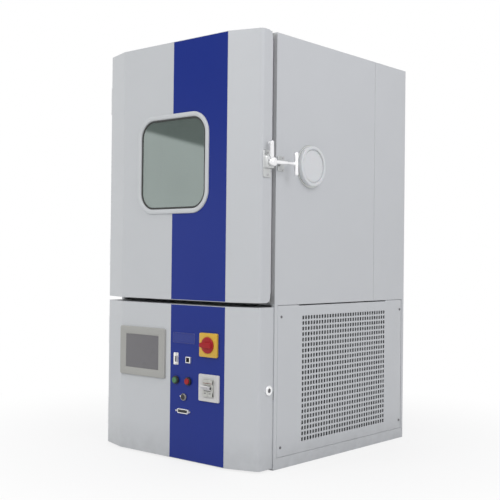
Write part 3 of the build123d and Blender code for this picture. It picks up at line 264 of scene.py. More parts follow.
def filled(outer, holes=()):
    """Triangles between an outline and its holes, as numbers into outer + holes."""
    work = bmesh.new()
    edges = []
    for loop in (outer, *holes):
        points = [work.verts.new((u, v, 0)) for u, v in loop]
        edges += [
            work.edges.new((points[i], points[(i + 1) % len(points)]))
            for i in range(len(points))
        ]
    work.verts.index_update()
    bmesh.ops.triangle_fill(work, use_beauty=True, edges=edges, normal=(0, 0, 1))
    triangles = []
    for face in work.faces:
        order = [vert.index for vert in face.verts]
        a, b, c = [vert.co for vert in face.verts]
        if (b - a).cross(c - a).z < 0:
            order.reverse()
        triangles.append(tuple(order))
    work.free()
    return triangles


class Form:
    """Points and faces of a piece while it is being shaped."""

    def __init__(self):
        self.points = []
        self.faces = []

    def loft(self, loops, start=True, end=True, ring=False):
        """Skin a row of matching loops, with flat ends where they are asked for."""
        first = len(self.points)
        count = len(loops[0])
        for loop in loops:
            self.points.extend(loop)
        steps = len(loops) if ring else len(loops) - 1
        for step in range(steps):
            a = first + step * count
            b = first + (step + 1) % len(loops) * count
            for i in range(count):
                j = (i + 1) % count
                self.faces.append((a + i, a + j, b + j, b + i))
        if start and not ring:
            self.faces.append(tuple(reversed(range(first, first + count))))
        if end and not ring:
            last = first + (len(loops) - 1) * count
            self.faces.append(tuple(range(last, last + count)))
        return self

    def formed(self, place, corners, radius, profile, steps=6, **ends):
        """Skin an outline that follows a profile of (inset, out) pairs."""
        loops = []
        for inset, out in profile:
            shape = rounded_loop(
                inset_corners(corners, inset), max(radius - inset, 0.05 * mm), steps
            )
            loops.append([place(u, v, out) for u, v in shape])
        return self.loft(loops, **ends)

    def turned(self, place, profile, steps=48, **ends):
        """Skin circles that follow a profile of (radius, out) pairs."""
        return self.loft(
            [[place(u, v, out) for u, v in circle(radius, steps)] for radius, out in profile],
            **ends,
        )

    def plate(self, place, outer, holes, low, high):
        """Flat sheet between two heights, with holes through it."""
        triangles = filled(outer, holes)
        loops = (outer, *holes)
        total = sum(len(loop) for loop in loops)
        first = len(self.points)
        for level in (low, high):
            for loop in loops:
                self.points.extend(place(u, v, level) for u, v in loop)
        for triangle in triangles:
            self.faces.append(tuple(first + total + i for i in triangle))
            self.faces.append(tuple(first + i for i in reversed(triangle)))
        start = first
        for number, loop in enumerate(loops):
            count = len(loop)
            for i in range(count):
                a, b = start + i, start + (i + 1) % count
                wall = (a, b, b + total, a + total)
                self.faces.append(wall if number == 0 else tuple(reversed(wall)))
            start += count
        return self

    def mesh(self, name):
        """The shaped points and faces as a mesh."""
        made = bpy.data.meshes.new(name)
        made.from_pydata([tuple(point) for point in self.points], [], self.faces)
        made.update()
        return made


def finished(name, mesh, finish, body, stands_for=(), sharp=32.0):
    """Turn a mesh into a piece that rides on its body."""
    mesh.name = name
    if finish:
        mesh.materials.clear()
        mesh.materials.append(finish)
    mesh.shade_smooth()
    mesh.set_sharp_from_angle(angle=math.radians(sharp))
    piece = bpy.data.objects.new(name, mesh)
    bpy.context.scene.collection.objects.link(piece)
    if stands_for:
        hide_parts(*stands_for)
    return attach(piece, body)


def geometry_tree(name, **inputs):
    """Geometry tree with named inputs. Returns its wire and the wires of its inputs."""
    tree = bpy.data.node_groups.new(name, "GeometryNodeTree")
    tree.interface.new_socket("Geometry", in_out="INPUT", socket_type="NodeSocketGeometry")
    for label, kind in inputs.items():
        tree.interface.new_socket(label, in_out="INPUT", socket_type="NodeSocket" + kind)
    tree.interface.new_socket("Geometry", in_out="OUTPUT", socket_type="NodeSocketGeometry")
    entry = tree.nodes.new("NodeGroupInput")
    wires = {socket.name: Wire(tree, socket) for socket in entry.outputs if socket.name}
    return Wire(tree), wires


def close_tree(wire, shape, finish):
    """End a geometry tree in Realize Instances and Set Material."""
    real = wire.node("GeometryNodeRealizeInstances", {0: shape})
    done = wire.node("GeometryNodeSetMaterial", {"Geometry": real, "Material": finish})
    exit_node = wire.tree.nodes.new("NodeGroupOutput")
    wire.tree.links.new(done.socket, exit_node.inputs[0])


def grown(mesh, tree, **values):
    """Run a geometry tree on a mesh and return the result as a plain mesh."""
    carrier = bpy.data.objects.new("carrier", mesh)
    bpy.context.scene.collection.objects.link(carrier)
    modifier = carrier.modifiers.new("shape", "NODES")
    modifier.node_group = tree
    for item in tree.interface.items_tree:
        if item.in_out == "INPUT" and item.name in values:
            modifier[item.identifier] = values[item.name]
    graph = bpy.context.evaluated_depsgraph_get()
    solid = bpy.data.meshes.new_from_object(carrier.evaluated_get(graph))
    carrier.modifiers.remove(modifier)
    bpy.data.objects.remove(carrier)
    return solid


vent_low, vent_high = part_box("side_vent_panel")
vent_columns = 33
vent_rows = 23
vent_pitch = Vector((12.6 * mm, 15.0 * mm))
vent_hole = Vector((7.9 * mm, 10.6 * mm))
vent_sheet = 1.5 * mm
vent_centre = Vector((vent_high.x, 5.0 * mm, 230.5 * mm))
vent_field = Vector((vent_columns * vent_pitch.x, vent_rows * vent_pitch.y))
finger_gap = 2.6 * mm
finger_gap_ends = (-216 * mm, 218 * mm)

# One cell: the sheet around one hole
hole_corner = 1.6 * mm
cell = Form()
cell_hole = rounded_loop(rectangle(*vent_hole), hole_corner, 1)
cell.plate(
    lambda u, v, w: Vector((u, v, w)),
    rectangle(*vent_pitch),
    [list(reversed(cell_hole))],
    -vent_sheet,
    0.0,
)
# The cell keeps only its two faces and the hole's wall, so that cells join without seams.
cell_corners = 4
cell_points = cell_corners + len(cell_hole)
cell.faces = [
    face
    for face in cell.faces
    if not (len(face) == 4 and all(index % cell_points < cell_corners for index in face))
]
cell_piece = bpy.data.objects.new("vent_cell", cell.mesh("vent_cell"))
bpy.context.scene.collection.objects.link(cell_piece)

vent_border = Form()
vent_place = on_right(vent_high.x, 0, 0)
vent_outline = [
    (vent_low.y, vent_low.z),
    (vent_high.y, vent_low.z),
    (vent_high.y, vent_high.z),
    (finger_gap_ends[1], vent_high.z),
    (finger_gap_ends[1], vent_high.z - finger_gap),
    (finger_gap_ends[0], vent_high.z - finger_gap),
    (finger_gap_ends[0], vent_high.z),
    (vent_low.y, vent_high.z),
]
fold = 12 * mm
bend = 2.4 * mm
bend_profile = [
    (bend * (1 - math.sin(t)), -bend * (1 - math.cos(t)))
    for t in [math.pi / 2 * (1 - step / 4) for step in range(5)]
]
outer_profile = [(0.0, -fold), *bend_profile]
inner_bend = bend + 0.1 * mm
inner_profile = [(inner_bend, -vent_sheet), (vent_sheet, -inner_bend), (vent_sheet, -fold)]
vent_corner = 0.6 * mm
vent_border.formed(
    vent_place, vent_outline, vent_corner, outer_profile, 2, start=False, end=False
)
rim = rounded_loop(inset_corners(vent_outline, bend), 0.05 * mm, 2)
field_loop = []
field_low = Vector((vent_centre.y, vent_centre.z)) - vent_field / 2
field_high = field_low + vent_field
field_loop += [(field_low.x + i * vent_pitch.x, field_low.y) for i in range(vent_columns)]
field_loop += [(field_high.x, field_low.y + i * vent_pitch.y) for i in range(vent_rows)]
field_loop += [(field_high.x - i * vent_pitch.x, field_high.y) for i in range(vent_columns)]
field_loop += [(field_low.x, field_high.y - i * vent_pitch.y) for i in range(vent_rows)]
for level, turn_over in ((0.0, False), (-vent_sheet, True)):
    triangles = filled(rim, [list(reversed(field_loop))])
    first = len(vent_border.points)
    vent_border.points += [
        vent_place(u, v, level) for u, v in [*rim, *reversed(field_loop)]
    ]
    for triangle in triangles:
        order = tuple(first + i for i in triangle)
        vent_border.faces.append(tuple(reversed(order)) if turn_over else order)
vent_border.formed(
    vent_place,
    vent_outline,
    vent_corner,
    [(bend, -vent_sheet), *inner_profile, (0.0, -fold)],
    2,
    start=False,
    end=False,
)

wire, socket = geometry_tree(
    "punched_field",
    Columns="Int",
    Rows="Int",
    Column_Pitch="Float",
    Row_Pitch="Float",
    Cell="Object",
    Centre="Vector",
    Finish="Material",
)
places = wire.node(
    "GeometryNodeMeshGrid",
    {
        "Size X": (socket["Columns"] - 1) * socket["Column_Pitch"],
        "Size Y": (socket["Rows"] - 1) * socket["Row_Pitch"],
        "Vertices X": socket["Columns"],
        "Vertices Y": socket["Rows"],
    },
)
one_cell = wire.node("GeometryNodeObjectInfo", {"Object": socket["Cell"]}, output="Geometry")
cells = wire.node("GeometryNodeInstanceOnPoints", {"Points": places, "Instance": one_cell})
cells = wire.node(
    "GeometryNodeTransform",
    {
        "Geometry": cells,
        "Translation": socket["Centre"],
        "Rotation": (math.pi / 2, 0, math.pi / 2),
    },
)
real_cells = wire.node("GeometryNodeRealizeInstances", {0: cells})
whole = wire.node("GeometryNodeJoinGeometry", {0: real_cells})
wire.tree.links.new(socket["Geometry"].socket, whole.socket.node.inputs[0])
weld_distance = 0.02 * mm
whole = wire.node("GeometryNodeMergeByDistance", {"Geometry": whole, "Distance": weld_distance})
close_tree(wire, whole, socket["Finish"])
vent_mesh = grown(
    vent_border.mesh("vent_border"),
    wire.tree,
    Columns=vent_columns,
    Rows=vent_rows,
    Column_Pitch=vent_pitch.x,
    Row_Pitch=vent_pitch.y,
    Cell=cell_piece,
    Centre=vent_centre,
    Finish=grey_paint,
)
bpy.data.objects.remove(cell_piece)
finished(
    "perforated_panel",
    vent_mesh,
    grey_paint,
    "cabinet",
    ["side_vent_panel"],
)

# Stainless test space
# The liner, the air baffle and the runners are satin stainless sheet, brushed level and
# welded at the corners; the mouth frame is blasted dull. Rigid foam lies behind them.


def brushed(name, colour, roughness, stretch, depth=0.22, **sockets):
    """Metal with fine parallel brush lines; stretch is how tight they lie along x, y and z."""
    made, wire, shader = surface(name, Metallic=1.0, **sockets)
    place = wire.node("ShaderNodeTexCoord", output="Object")
    along = wire.node("ShaderNodeMapping", {"Vector": place, "Scale": stretch})
    lines = wire.node("ShaderNodeTexNoise", {"Vector": along, "Scale": 1.0, "Detail": 5.0})
    clouds = wire.node("ShaderNodeTexNoise", {"Vector": place, "Scale": 14.0, "Detail": 4.0})
    bump = wire.node(
        "ShaderNodeBump", {"Height": lines, "Strength": 0.25, "Distance": 0.00006}
    )
    plug_in(
        shader,
        Base_Color=wire.blend(lines, shaded(colour, 1.06), shaded(colour, 0.90)),
        Roughness=roughness + (lines - 0.5) * depth + (clouds - 0.5) * 0.12,
        Normal=bump,
    )
    return made


steel_colour = (0.56, 0.575, 0.56)
satin_steel = brushed("satin_steel", steel_colour, 0.34, (14.0, 14.0, 1500.0))
dress(satin_steel, "chamber_liner", "shelf_runners", "air_baffle", "heater_element")
blasted_steel = coated(
    "blasted_steel", (0.47, 0.475, 0.48), 0.5, 900.0, 0.00008, 0.03, Metallic=0.3
)
dress(blasted_steel, "mouth_frame")
foam = coated("foam", (0.78, 0.70, 0.46), 0.85, 260.0, 0.0006, 0.06)
dress(foam, "chamber_insulation")

# Wire shelf
# A bent rod carries thirteen welded wires; all of it is stainless and lies on two runners.


def bar_along(start, end):
    """Places (u, v, along) on a bar from one point towards another."""
    axis = (Vector(end) - Vector(start)).normalized()
    helper = Vector((0, 0, 1)) if abs(axis.z) < 0.9 else Vector((1, 0, 0))
    side = helper.cross(axis).normalized()
    up = axis.cross(side)
    origin = Vector(start)
    return lambda u, v, w: origin + side * u + up * v + axis * w


shelf_low, shelf_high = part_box("wire_shelf")
rod_radius = 3.5 * mm
wire_radius = 2.0 * mm
wire_count = 13
rod_bend = 14 * mm
rod_centre = (shelf_low + shelf_high) / 2
rod_corners = rectangle(
    shelf_high.x - shelf_low.x - 2 * rod_radius, shelf_high.y - shelf_low.y - 2 * rod_radius
)
rod_z = shelf_high.z - rod_radius
shelf_rod = Form()
rod_path = rounded_loop(rod_corners, rod_bend, 8)
rod_loops = []
for index, point in enumerate(rod_path):
    ahead = (rod_path[(index + 1) % len(rod_path)] - rod_path[index - 1]).normalized()
    out = Vector((ahead.y, -ahead.x))
    middle = Vector((rod_centre.x + point.x, rod_centre.y + point.y))
    rod_loops.append(
        [
            Vector((middle.x + out.x * u, middle.y + out.y * u, rod_z + v))
            for u, v in circle(rod_radius, 12)
        ]
    )
shelf_rod.loft(rod_loops, ring=True)

wire, socket = geometry_tree(
    "shelf_wires", Count="Int", Span="Float", Length="Float", Radius="Float", Centre="Vector",
    Finish="Material",
)
line = wire.node(
    "GeometryNodeMeshLine",
    {
        "Count": socket["Count"],
        "Start Location": (0, 0, 0),
        "Offset": wire.node(
            "ShaderNodeCombineXYZ",
            {0: wire.maths("DIVIDE", socket["Span"], socket["Count"] - 1)},
        ),
    },
    mode="OFFSET",
)
one_wire = wire.node(
    "GeometryNodeMeshCylinder",
    {"Vertices": 10, "Radius": socket["Radius"], "Depth": socket["Length"]},
)
wires = wire.node(
    "GeometryNodeInstanceOnPoints",
    {"Points": line, "Instance": one_wire, "Rotation": (math.pi / 2, 0, 0)},
)
wires = wire.node("GeometryNodeTransform", {"Geometry": wires, "Translation": socket["Centre"]})
whole = wire.node("GeometryNodeJoinGeometry", {0: wires})
wire.tree.links.new(socket["Geometry"].socket, whole.socket.node.inputs[0])
close_tree(wire, whole, socket["Finish"])
wire_span = shelf_high.x - shelf_low.x - 2 * rod_radius - 2 * rod_bend
shelf_mesh = grown(
    shelf_rod.mesh("shelf_rod"),
    wire.tree,
    Count=wire_count,
    Span=wire_span,
    Length=shelf_high.y - shelf_low.y - 2 * rod_radius,
    Radius=wire_radius,
    Centre=Vector((rod_centre.x - wire_span / 2, rod_centre.y, shelf_high.z - wire_radius)),
    Finish=satin_steel,
)
finished("shelf_of_wires", shelf_mesh, satin_steel, "shelf", ["wire_shelf"])

# Cable port
# A flanged sleeve passes through the insulated wall. Its pale silicone plug is pulled out by
# the rim; the head is moulded with a rounded rim and a shallow dished face.
port_low, port_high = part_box("port_plug")
sleeve_low, sleeve_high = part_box("port_sleeve")
port_place = on_right(0, (port_low.y + port_high.y) / 2, (port_low.z + port_high.z) / 2)
silicone_colour = (0.70, 0.715, 0.73)
silicone = coated(
    "pale_silicone", silicone_colour, 0.42, 900.0, 0.00006, 0.02, Subsurface_Weight=0.04
)
plug_radius = (port_high.z - port_low.z) / 2
port_face = sleeve_high.x
plug_body_radius = 39.9 * mm
plug = Form()
plug.turned(
    port_place,
    [
        (plug_body_radius - 1.5 * mm, port_low.x),
        (plug_body_radius, port_low.x + 1.5 * mm),
        (plug_body_radius, port_face),
        (plug_radius - 1.2 * mm, port_face),
        (plug_radius - 0.4 * mm, port_face + 0.5 * mm),
        (plug_radius, port_face + 1.8 * mm),
        (plug_radius, port_high.x - 2.0 * mm),
        (plug_radius - 0.5 * mm, port_high.x - 0.8 * mm),
        (plug_radius - 1.8 * mm, port_high.x),
        (plug_radius - 7.6 * mm, port_high.x),
        (plug_radius - 8.2 * mm, port_high.x - 0.3 * mm),
        (plug_radius - 8.6 * mm, port_high.x - 1.0 * mm),
        (plug_radius - 8.7 * mm, port_high.x - 5.2 * mm),
        (plug_radius - 9.2 * mm, port_high.x - 5.6 * mm),
        (plug_radius - 10.4 * mm, port_high.x - 5.6 * mm),
        (plug_radius - 10.9 * mm, port_high.x - 5.2 * mm),
        (plug_radius - 11.0 * mm, port_high.x - 3.2 * mm),
        (plug_radius - 11.6 * mm, port_high.x - 2.6 * mm),
        (plug_radius - 16.0 * mm, port_high.x - 2.5 * mm),
        (18 * mm, port_high.x - 2.2 * mm),
        (6 * mm, port_high.x - 2.1 * mm),
    ],
    72,
)
finished(
    "port_plug_moulded",
    plug.mesh("plug"),
    silicone,
    "cable_plug",
    ["port_plug"],
    50,
)
sleeve = Form()
flange_radius = (sleeve_high.z - sleeve_low.z) / 2
bore_radius = 40 * mm
sleeve_radius = 42.5 * mm
flange_back = sleeve_high.x - 3 * mm
sleeve.turned(
    port_place,
    [
        (bore_radius, sleeve_low.x),
        (sleeve_radius, sleeve_low.x),
        (sleeve_radius, flange_back),
        (flange_radius, flange_back),
        (flange_radius, sleeve_high.x - 1.5 * mm),
        (flange_radius - 0.5 * mm, sleeve_high.x - 0.5 * mm),
        (flange_radius - 1.6 * mm, sleeve_high.x),
        (bore_radius, sleeve_high.x),
    ],
    72,
    ring=True,
)
finished(
    "port_sleeve_flanged",
    sleeve.mesh("sleeve"),
    satin_steel,
    "cabinet",
    ["port_sleeve"],
)

# Door
# A folded steel tray with a flat nose and two angled facets, filled with foam. A gloss blue
# film covers the right half of the nose, under the window's frame. Stainless inner face.
door_low, door_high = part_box("door_skin")
nose_y = door_low.y
flat_half = 203.5 * mm
shoulder_y = -375 * mm
sheet = 1.5 * mm
nose_bend = 10 * mm
shoulder_bend = 13 * mm
bend_steps = 8
corner_steps = 6


def thickened(mesh, thickness):
    """Give an open surface a thickness behind its outer face."""
    carrier = bpy.data.objects.new("carrier", mesh)
    bpy.context.scene.collection.objects.link(carrier)
    modifier = carrier.modifiers.new("sheet", "SOLIDIFY")
    modifier.thickness = thickness
    modifier.offset = -1.0
    modifier.use_even_offset = True
    graph = bpy.context.evaluated_depsgraph_get()
    solid = bpy.data.meshes.new_from_object(carrier.evaluated_get(graph))
    bpy.data.objects.remove(carrier)
    return solid


def bend_points(before, corner, after, radius, steps=bend_steps):
    """Arc that rounds one corner of an open path."""
    first = (before - corner).normalized()
    second = (after - corner).normalized()
    half = first.angle(second) / 2
    reach = radius / math.tan(half)
    centre = corner + (first + second).normalized() * (radius / math.sin(half))
    start = corner + first * reach - centre
    end = corner + second * reach - centre
    sweep = start.angle(end)
    return [
        centre
        + (start * math.sin(sweep * (1 - step / steps)) + end * math.sin(sweep * step / steps))
        / math.sin(sweep)
        for step in range(steps + 1)
    ]


def folded_front(name, low, high, corner, holes):
    """Folded tray: a nose, two facets and two returns whose rear corners are rounded."""
    tray = Form()
    turns = [math.pi / 2 * step / corner_steps for step in range(corner_steps + 1)]
    levels = [
        (low.z + corner * (1 - math.cos(turn)), corner * (1 - math.sin(turn))) for turn in turns
    ]
    levels += [(low.z + high.z - z, back) for z, back in reversed(levels)]
    radii = (shoulder_bend, nose_bend, nose_bend, shoulder_bend)
    rows = []
    for z, back in levels:
        rear = high.y - back
        path = [
            Vector((low.x, rear)),
            Vector((low.x, shoulder_y)),
            Vector((-flat_half, low.y)),
            Vector((flat_half, low.y)),
            Vector((high.x, shoulder_y)),
            Vector((high.x, rear)),
        ]
        row = [path[0]]
        for before, here, after, radius in zip(path, path[1:], path[2:], radii):
            row += bend_points(before, here, after, radius)
        row.append(path[-1])
        rows.append([Vector((point.x, point.y, z)) for point in row])
        tray.points += rows[-1]
    # The flat of the nose, between its two bends, is left out here and filled around its holes.
    count = len(rows[0])
    flat = 2 * (bend_steps + 1)
    for level in range(len(rows) - 1):
        a, b = level * count, (level + 1) * count
        for i in range(count - 1):
            if level != corner_steps or i != flat:
                tray.faces.append((a + i, a + i + 1, b + i + 1, b + i))
        # The back stays open between the upper and the lower rim.
        if level != corner_steps:
            tray.faces.append((a + count - 1, a, b, b + count - 1))
    tray.faces.append(tuple(reversed(range(count))))
    tray.faces.append(tuple(range((len(rows) - 1) * count, len(rows) * count)))
    a, b = corner_steps * count + flat, (corner_steps + 1) * count + flat
    numbers = [a, a + 1, b + 1, b]
    field = [(tray.points[number].x, tray.points[number].z) for number in numbers]
    triangles = filled(field, [list(reversed(hole)) for hole in holes])
    for hole in holes:
        for u, v in reversed(hole):
            numbers.append(len(tray.points))
            tray.points.append(Vector((u, low.y, v)))
    tray.faces += [tuple(numbers[i] for i in triangle) for triangle in triangles]
    return thickened(tray.mesh(name), sheet)


dress(satin_steel, "door_liner")
blue_colour = (0.012, 0.031, 0.245)
blue_film_finish = coated(
    "blue_film",
    blue_colour,
    roughness=0.24,
    grain=240.0,
    relief=0.00002,
    mottle=0.02,
    soiling=0.12,
    uneven=0.04,
    Specular_IOR_Level=0.2,
)
frame_low, frame_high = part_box("window_frame")
window_z = (frame_low.z + frame_high.z) / 2
window_size = frame_high.z - frame_low.z
window_radius = 62 * mm
sight_radius = 40 * mm
return_corner = 16 * mm
opening_size = 246 * mm
opening_corners = rectangle(opening_size, opening_size, 0, window_z)
window_opening = rounded_loop(opening_corners, sight_radius, 10)
finished(
    "door_tray",
    folded_front("door_tray", door_low, door_high, return_corner, [window_opening]),
    grey_paint,
    "door",
    ["door_skin", "door_insulation"],
)
film_edge = 1.2 * mm
film_low = 0.02 * mm
film_high = 0.2 * mm
tuck = 4 * mm
under_frame = rounded_loop(
    inset_corners(rectangle(window_size, window_size, 0, window_z), tuck),
    window_radius - tuck,
    12,
)
# The half of the frame's outline that lies on the film, from top to bottom
notch = [(u, v) for u, v in under_frame if u > 1 * mm]
notch.sort(key=lambda point: -math.atan2(point[1] - window_z, point[0]))
film_right = flat_half - 2.0 * mm
door_film = Form()
door_film.plate(
    on_front(0, nose_y, 0),
    [
        (0, door_low.z + film_edge),
        (film_right, door_low.z + film_edge),
        (film_right, door_high.z - film_edge),
        (0, door_high.z - film_edge),
        (0, window_z + window_size / 2 - tuck),
        *notch,
        (0, window_z - window_size / 2 + tuck),
    ],
    [],
    film_low,
    film_high,
)
finished("door_blue_film", door_film.mesh("film"), blue_film_finish, "door")

# Door gasket
# Dark grey silicone rubber, moulded in one ring with a bulb that meets the mouth frame. A
# strip of paler rubber lies outside it and closes the gap round the back of the door.
grey_rubber = coated("grey_rubber", (0.23, 0.23, 0.24), 0.62, 500.0, 0.0002, 0.08)
gasket_low, gasket_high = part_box("door_gasket")
gasket = Form()
gasket_width = 16 * mm
gasket_depth = gasket_high.y - gasket_low.y
neck_high = 11.0 * mm
foot_high = 12.2 * mm
gasket.formed(
    on_front(0, gasket_high.y, (gasket_low.z + gasket_high.z) / 2),
    rectangle(gasket_high.x - gasket_low.x, gasket_high.z - gasket_low.z),
    24 * mm,
    [
        (8 * mm, 0.0),
        (4.6 * mm, 0.8 * mm),
        (2.4 * mm, 2.8 * mm),
        (1.8 * mm, 5.4 * mm),
        (2.6 * mm, 8.0 * mm),
        (4.4 * mm, 9.8 * mm),
        (1.2 * mm, neck_high),
        (0.0, foot_high),
        (0.0, gasket_depth),
        (gasket_width, gasket_depth),
        (gasket_width, foot_high),
        (gasket_width - 1.2 * mm, neck_high),
        (11.6 * mm, 9.8 * mm),
        (13.4 * mm, 8.0 * mm),
        (14.2 * mm, 5.4 * mm),
        (13.6 * mm, 2.8 * mm),
        (11.4 * mm, 0.8 * mm),
    ],
    8,
    ring=True,
)
finished(
    "gasket_bulb", gasket.mesh("gasket"), grey_rubber, "door", ["door_gasket"], 50
)

edge_rubber = coated("edge_rubber", (0.74, 0.74, 0.77), 0.6, 500.0, 0.0002, 0.05)
edge_seal = Form()
seal_back = 0.9 * mm
seal_inset = 8 * mm
seal_width = 10 * mm
seal_shoulder = 4.4 * mm
edge_seal.formed(
    on_front(0, gasket_high.y - seal_back, (door_low.z + door_high.z) / 2),
    rectangle(
        door_high.x - door_low.x - 2 * seal_inset, door_high.z - door_low.z - 2 * seal_inset
    ),
    20 * mm,
    [
        (5 * mm, 0.0),
        (1.6 * mm, 1.2 * mm),
        (0.0, seal_shoulder),
        (0.0, gasket_depth - seal_back),
        (seal_width, gasket_depth - seal_back),
        (seal_width, seal_shoulder),
        (8.4 * mm, 1.2 * mm),
    ],
    8,
    ring=True,
)
finished("edge_seal", edge_seal.mesh("edge_seal"), edge_rubber, "door", sharp=50)

# Window
# Two heated panes in a moulded pale grey rubber frame: a broad rounded bead outside, then
# the thin lip that lies on the glass, coloured black as painted shade for the shaded inner
# edge of the bead. A black spacer keeps the panes apart.
frame_rubber = coated("window_frame_rubber", (0.60, 0.62, 0.635), 0.42, 700.0, 0.00008, 0.02)
window_place = on_front(0, nose_y, window_z)
frame_square = rectangle(window_size, window_size)
frame_back = -0.9 * mm
bead = Form()
bead.formed(
    window_place,
    frame_square,
    window_radius,
    [
        (13.5 * mm, frame_back),
        (0.0, frame_back),
        (0.0, 0.0),
        (0.0, 2.2 * mm),
        (0.5 * mm, 3.4 * mm),
        (1.5 * mm, 4.3 * mm),
        (3.2 * mm, 4.85 * mm),
        (5.6 * mm, 5.0 * mm),
        (8.6 * mm, 4.85 * mm),
        (10.8 * mm, 4.3 * mm),
        (12.2 * mm, 3.3 * mm),
        (12.8 * mm, 2.0 * mm),
        (13.4 * mm, 0.6 * mm),
    ],
    14,
    ring=True,
)
finished(
    "window_bead", bead.mesh("bead"), frame_rubber, "door", ["window_frame"], 60
)
black_spacer_and_shade_lip = coated("pane_spacer", (0.03, 0.032, 0.03), 0.5, 700.0, 0.00005, 0.1)
# Painted shade: the lip's black stands in for the shade along the bead's inner edge; the spacer's
# black is its own.
lip = Form()
lip.formed(
    window_place,
    frame_square,
    window_radius,
    [
        (18.4 * mm, frame_back),
        (13.6 * mm, frame_back),
        (13.7 * mm, 0.9 * mm),
        (14.6 * mm, 1.7 * mm),
        (15.8 * mm, 2.0 * mm),
        (17.2 * mm, 1.7 * mm),
        (18.1 * mm, 1.0 * mm),
        (18.4 * mm, 0.05 * mm),
    ],
    14,
    ring=True,
)
finished("window_lip", lip.mesh("lip"), black_spacer_and_shade_lip, "door", sharp=60)
spacer = Form()
pane_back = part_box("outer_pane")[1].y
spacer_size = 239 * mm
spacer_front, spacer_rear = -0.2 * mm, -9 * mm
spacer_width = 5 * mm
spacer.formed(
    on_front(0, pane_back, window_z),
    rectangle(spacer_size, spacer_size),
    33.5 * mm,
    [
        (0, spacer_front),
        (spacer_width, spacer_front),
        (spacer_width, spacer_rear),
        (0, spacer_rear),
    ],
    12,
    ring=True,
)
finished("pane_spacer", spacer.mesh("spacer"), black_spacer_and_shade_lip, "door")
glass, wire, shader = surface(
    "window_glass",
    Roughness=0.02,
    IOR=1.9,
    Specular_IOR_Level=0.9,
    Coat_Weight=1.0,
    Coat_Roughness=0.01,
    Coat_IOR=1.7,
    Specular_Tint=(0.80, 1.0, 0.93, 1),
    Alpha=0.76,
)
place = wire.node("ShaderNodeTexCoord", output="Object")
haze = wire.node("ShaderNodeTexNoise", {"Vector": place, "Scale": 7.0, "Detail": 3.0})
plug_in(
    shader,
    Base_Color=wire.blend(haze, (0.085, 0.118, 0.105, 1), (0.12, 0.155, 0.14, 1)),
    Alpha=0.80 + (haze - 0.5) * 0.10,
)
dress(glass, "outer_pane")
clear_glass, wire, shader = surface(
    "inner_glass", Roughness=0.03, Specular_IOR_Level=0.6, Alpha=0.12
)
place = wire.node("ShaderNodeTexCoord", output="Object")
haze = wire.node("ShaderNodeTexNoise", {"Vector": place, "Scale": 16.0, "Detail": 3.0})
plug_in(
    shader,
    Base_Color=wire.blend(haze, (0.20, 0.25, 0.23, 1), (0.26, 0.31, 0.29, 1)),
    Alpha=0.10 + (haze - 0.5) * 0.04,
)
dress(clear_glass, "inner_pane")

# Bright metalwork
# Hinges and turned parts are ground and chrome plated. The latch's castings are duller, and
# the key lock's rotor is dark zinc.


def plated(name, colour, roughness, grain=60.0):
    """Bright metal with faint smudges and fine polishing marks."""
    made, wire, shader = surface(name, Metallic=1.0)
    place = wire.node("ShaderNodeTexCoord", output="Object")
    smudge = wire.node("ShaderNodeTexNoise", {"Vector": place, "Scale": grain, "Detail": 5.0})
    fine = wire.node("ShaderNodeTexNoise", {"Vector": place, "Scale": 1400.0, "Detail": 2.0})
    bump = wire.node(
        "ShaderNodeBump", {"Height": smudge + fine * 0.1, "Strength": 0.05, "Distance": 0.00003}
    )
    plug_in(
        shader,
        Base_Color=wire.blend(smudge, shaded(colour, 1.04), shaded(colour, 0.93)),
        Roughness=roughness + (smudge - 0.5) * 0.08,
        Normal=bump,
    )
    return made


chrome = plated("chrome", (0.90, 0.90, 0.91), 0.34)
cast_metal = plated("cast_metal", (0.55, 0.56, 0.56), 0.36)
dark_zinc = plated("dark_zinc", (0.20, 0.20, 0.21), 0.42)
hinge_nodes = [
    f"{leaf}_hinge_{level}_{half}"
    for leaf in ("door", "panel")
    for level in ("upper", "lower")
    for half in ("pin", "socket")
]
dress(chrome, *hinge_nodes)

# Door latch
# A cast bracket on the door's edge carries the hub of a turned lever with a T grip; its cam
# arm ends in a pin that closes behind the lip of the keeper on the cabinet.
bracket_low, bracket_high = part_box("latch_bracket")
latch_y = (bracket_low.y + bracket_high.y) / 2
latch_z = 805 * mm
bracket_place = on_right(bracket_low.x, latch_y, latch_z)
bracket = Form()
plate_middle = (bracket_low.z + bracket_high.z) / 2 - latch_z
bracket.formed(
    bracket_place,
    rectangle(30 * mm, bracket_high.z - bracket_low.z, 0, plate_middle),
    5 * mm,
    [(0, 0), (0, 2.0 * mm), (0.4 * mm, 2.7 * mm), (1.2 * mm, 3 * mm)],
)
block_out = bracket_high.x - bracket_low.x
bracket.formed(
    bracket_place,
    rectangle(28 * mm, 34 * mm),
    4 * mm,
    [
        (-0.8 * mm, 2.9 * mm),
        (0, 3.8 * mm),
        (0.3 * mm, block_out - 2.0 * mm),
        (0.9 * mm, block_out - 0.8 * mm),
        (2.2 * mm, block_out),
    ],
)
finished("latch_casting", bracket.mesh("bracket"), cast_metal, "door", ["latch_bracket"])

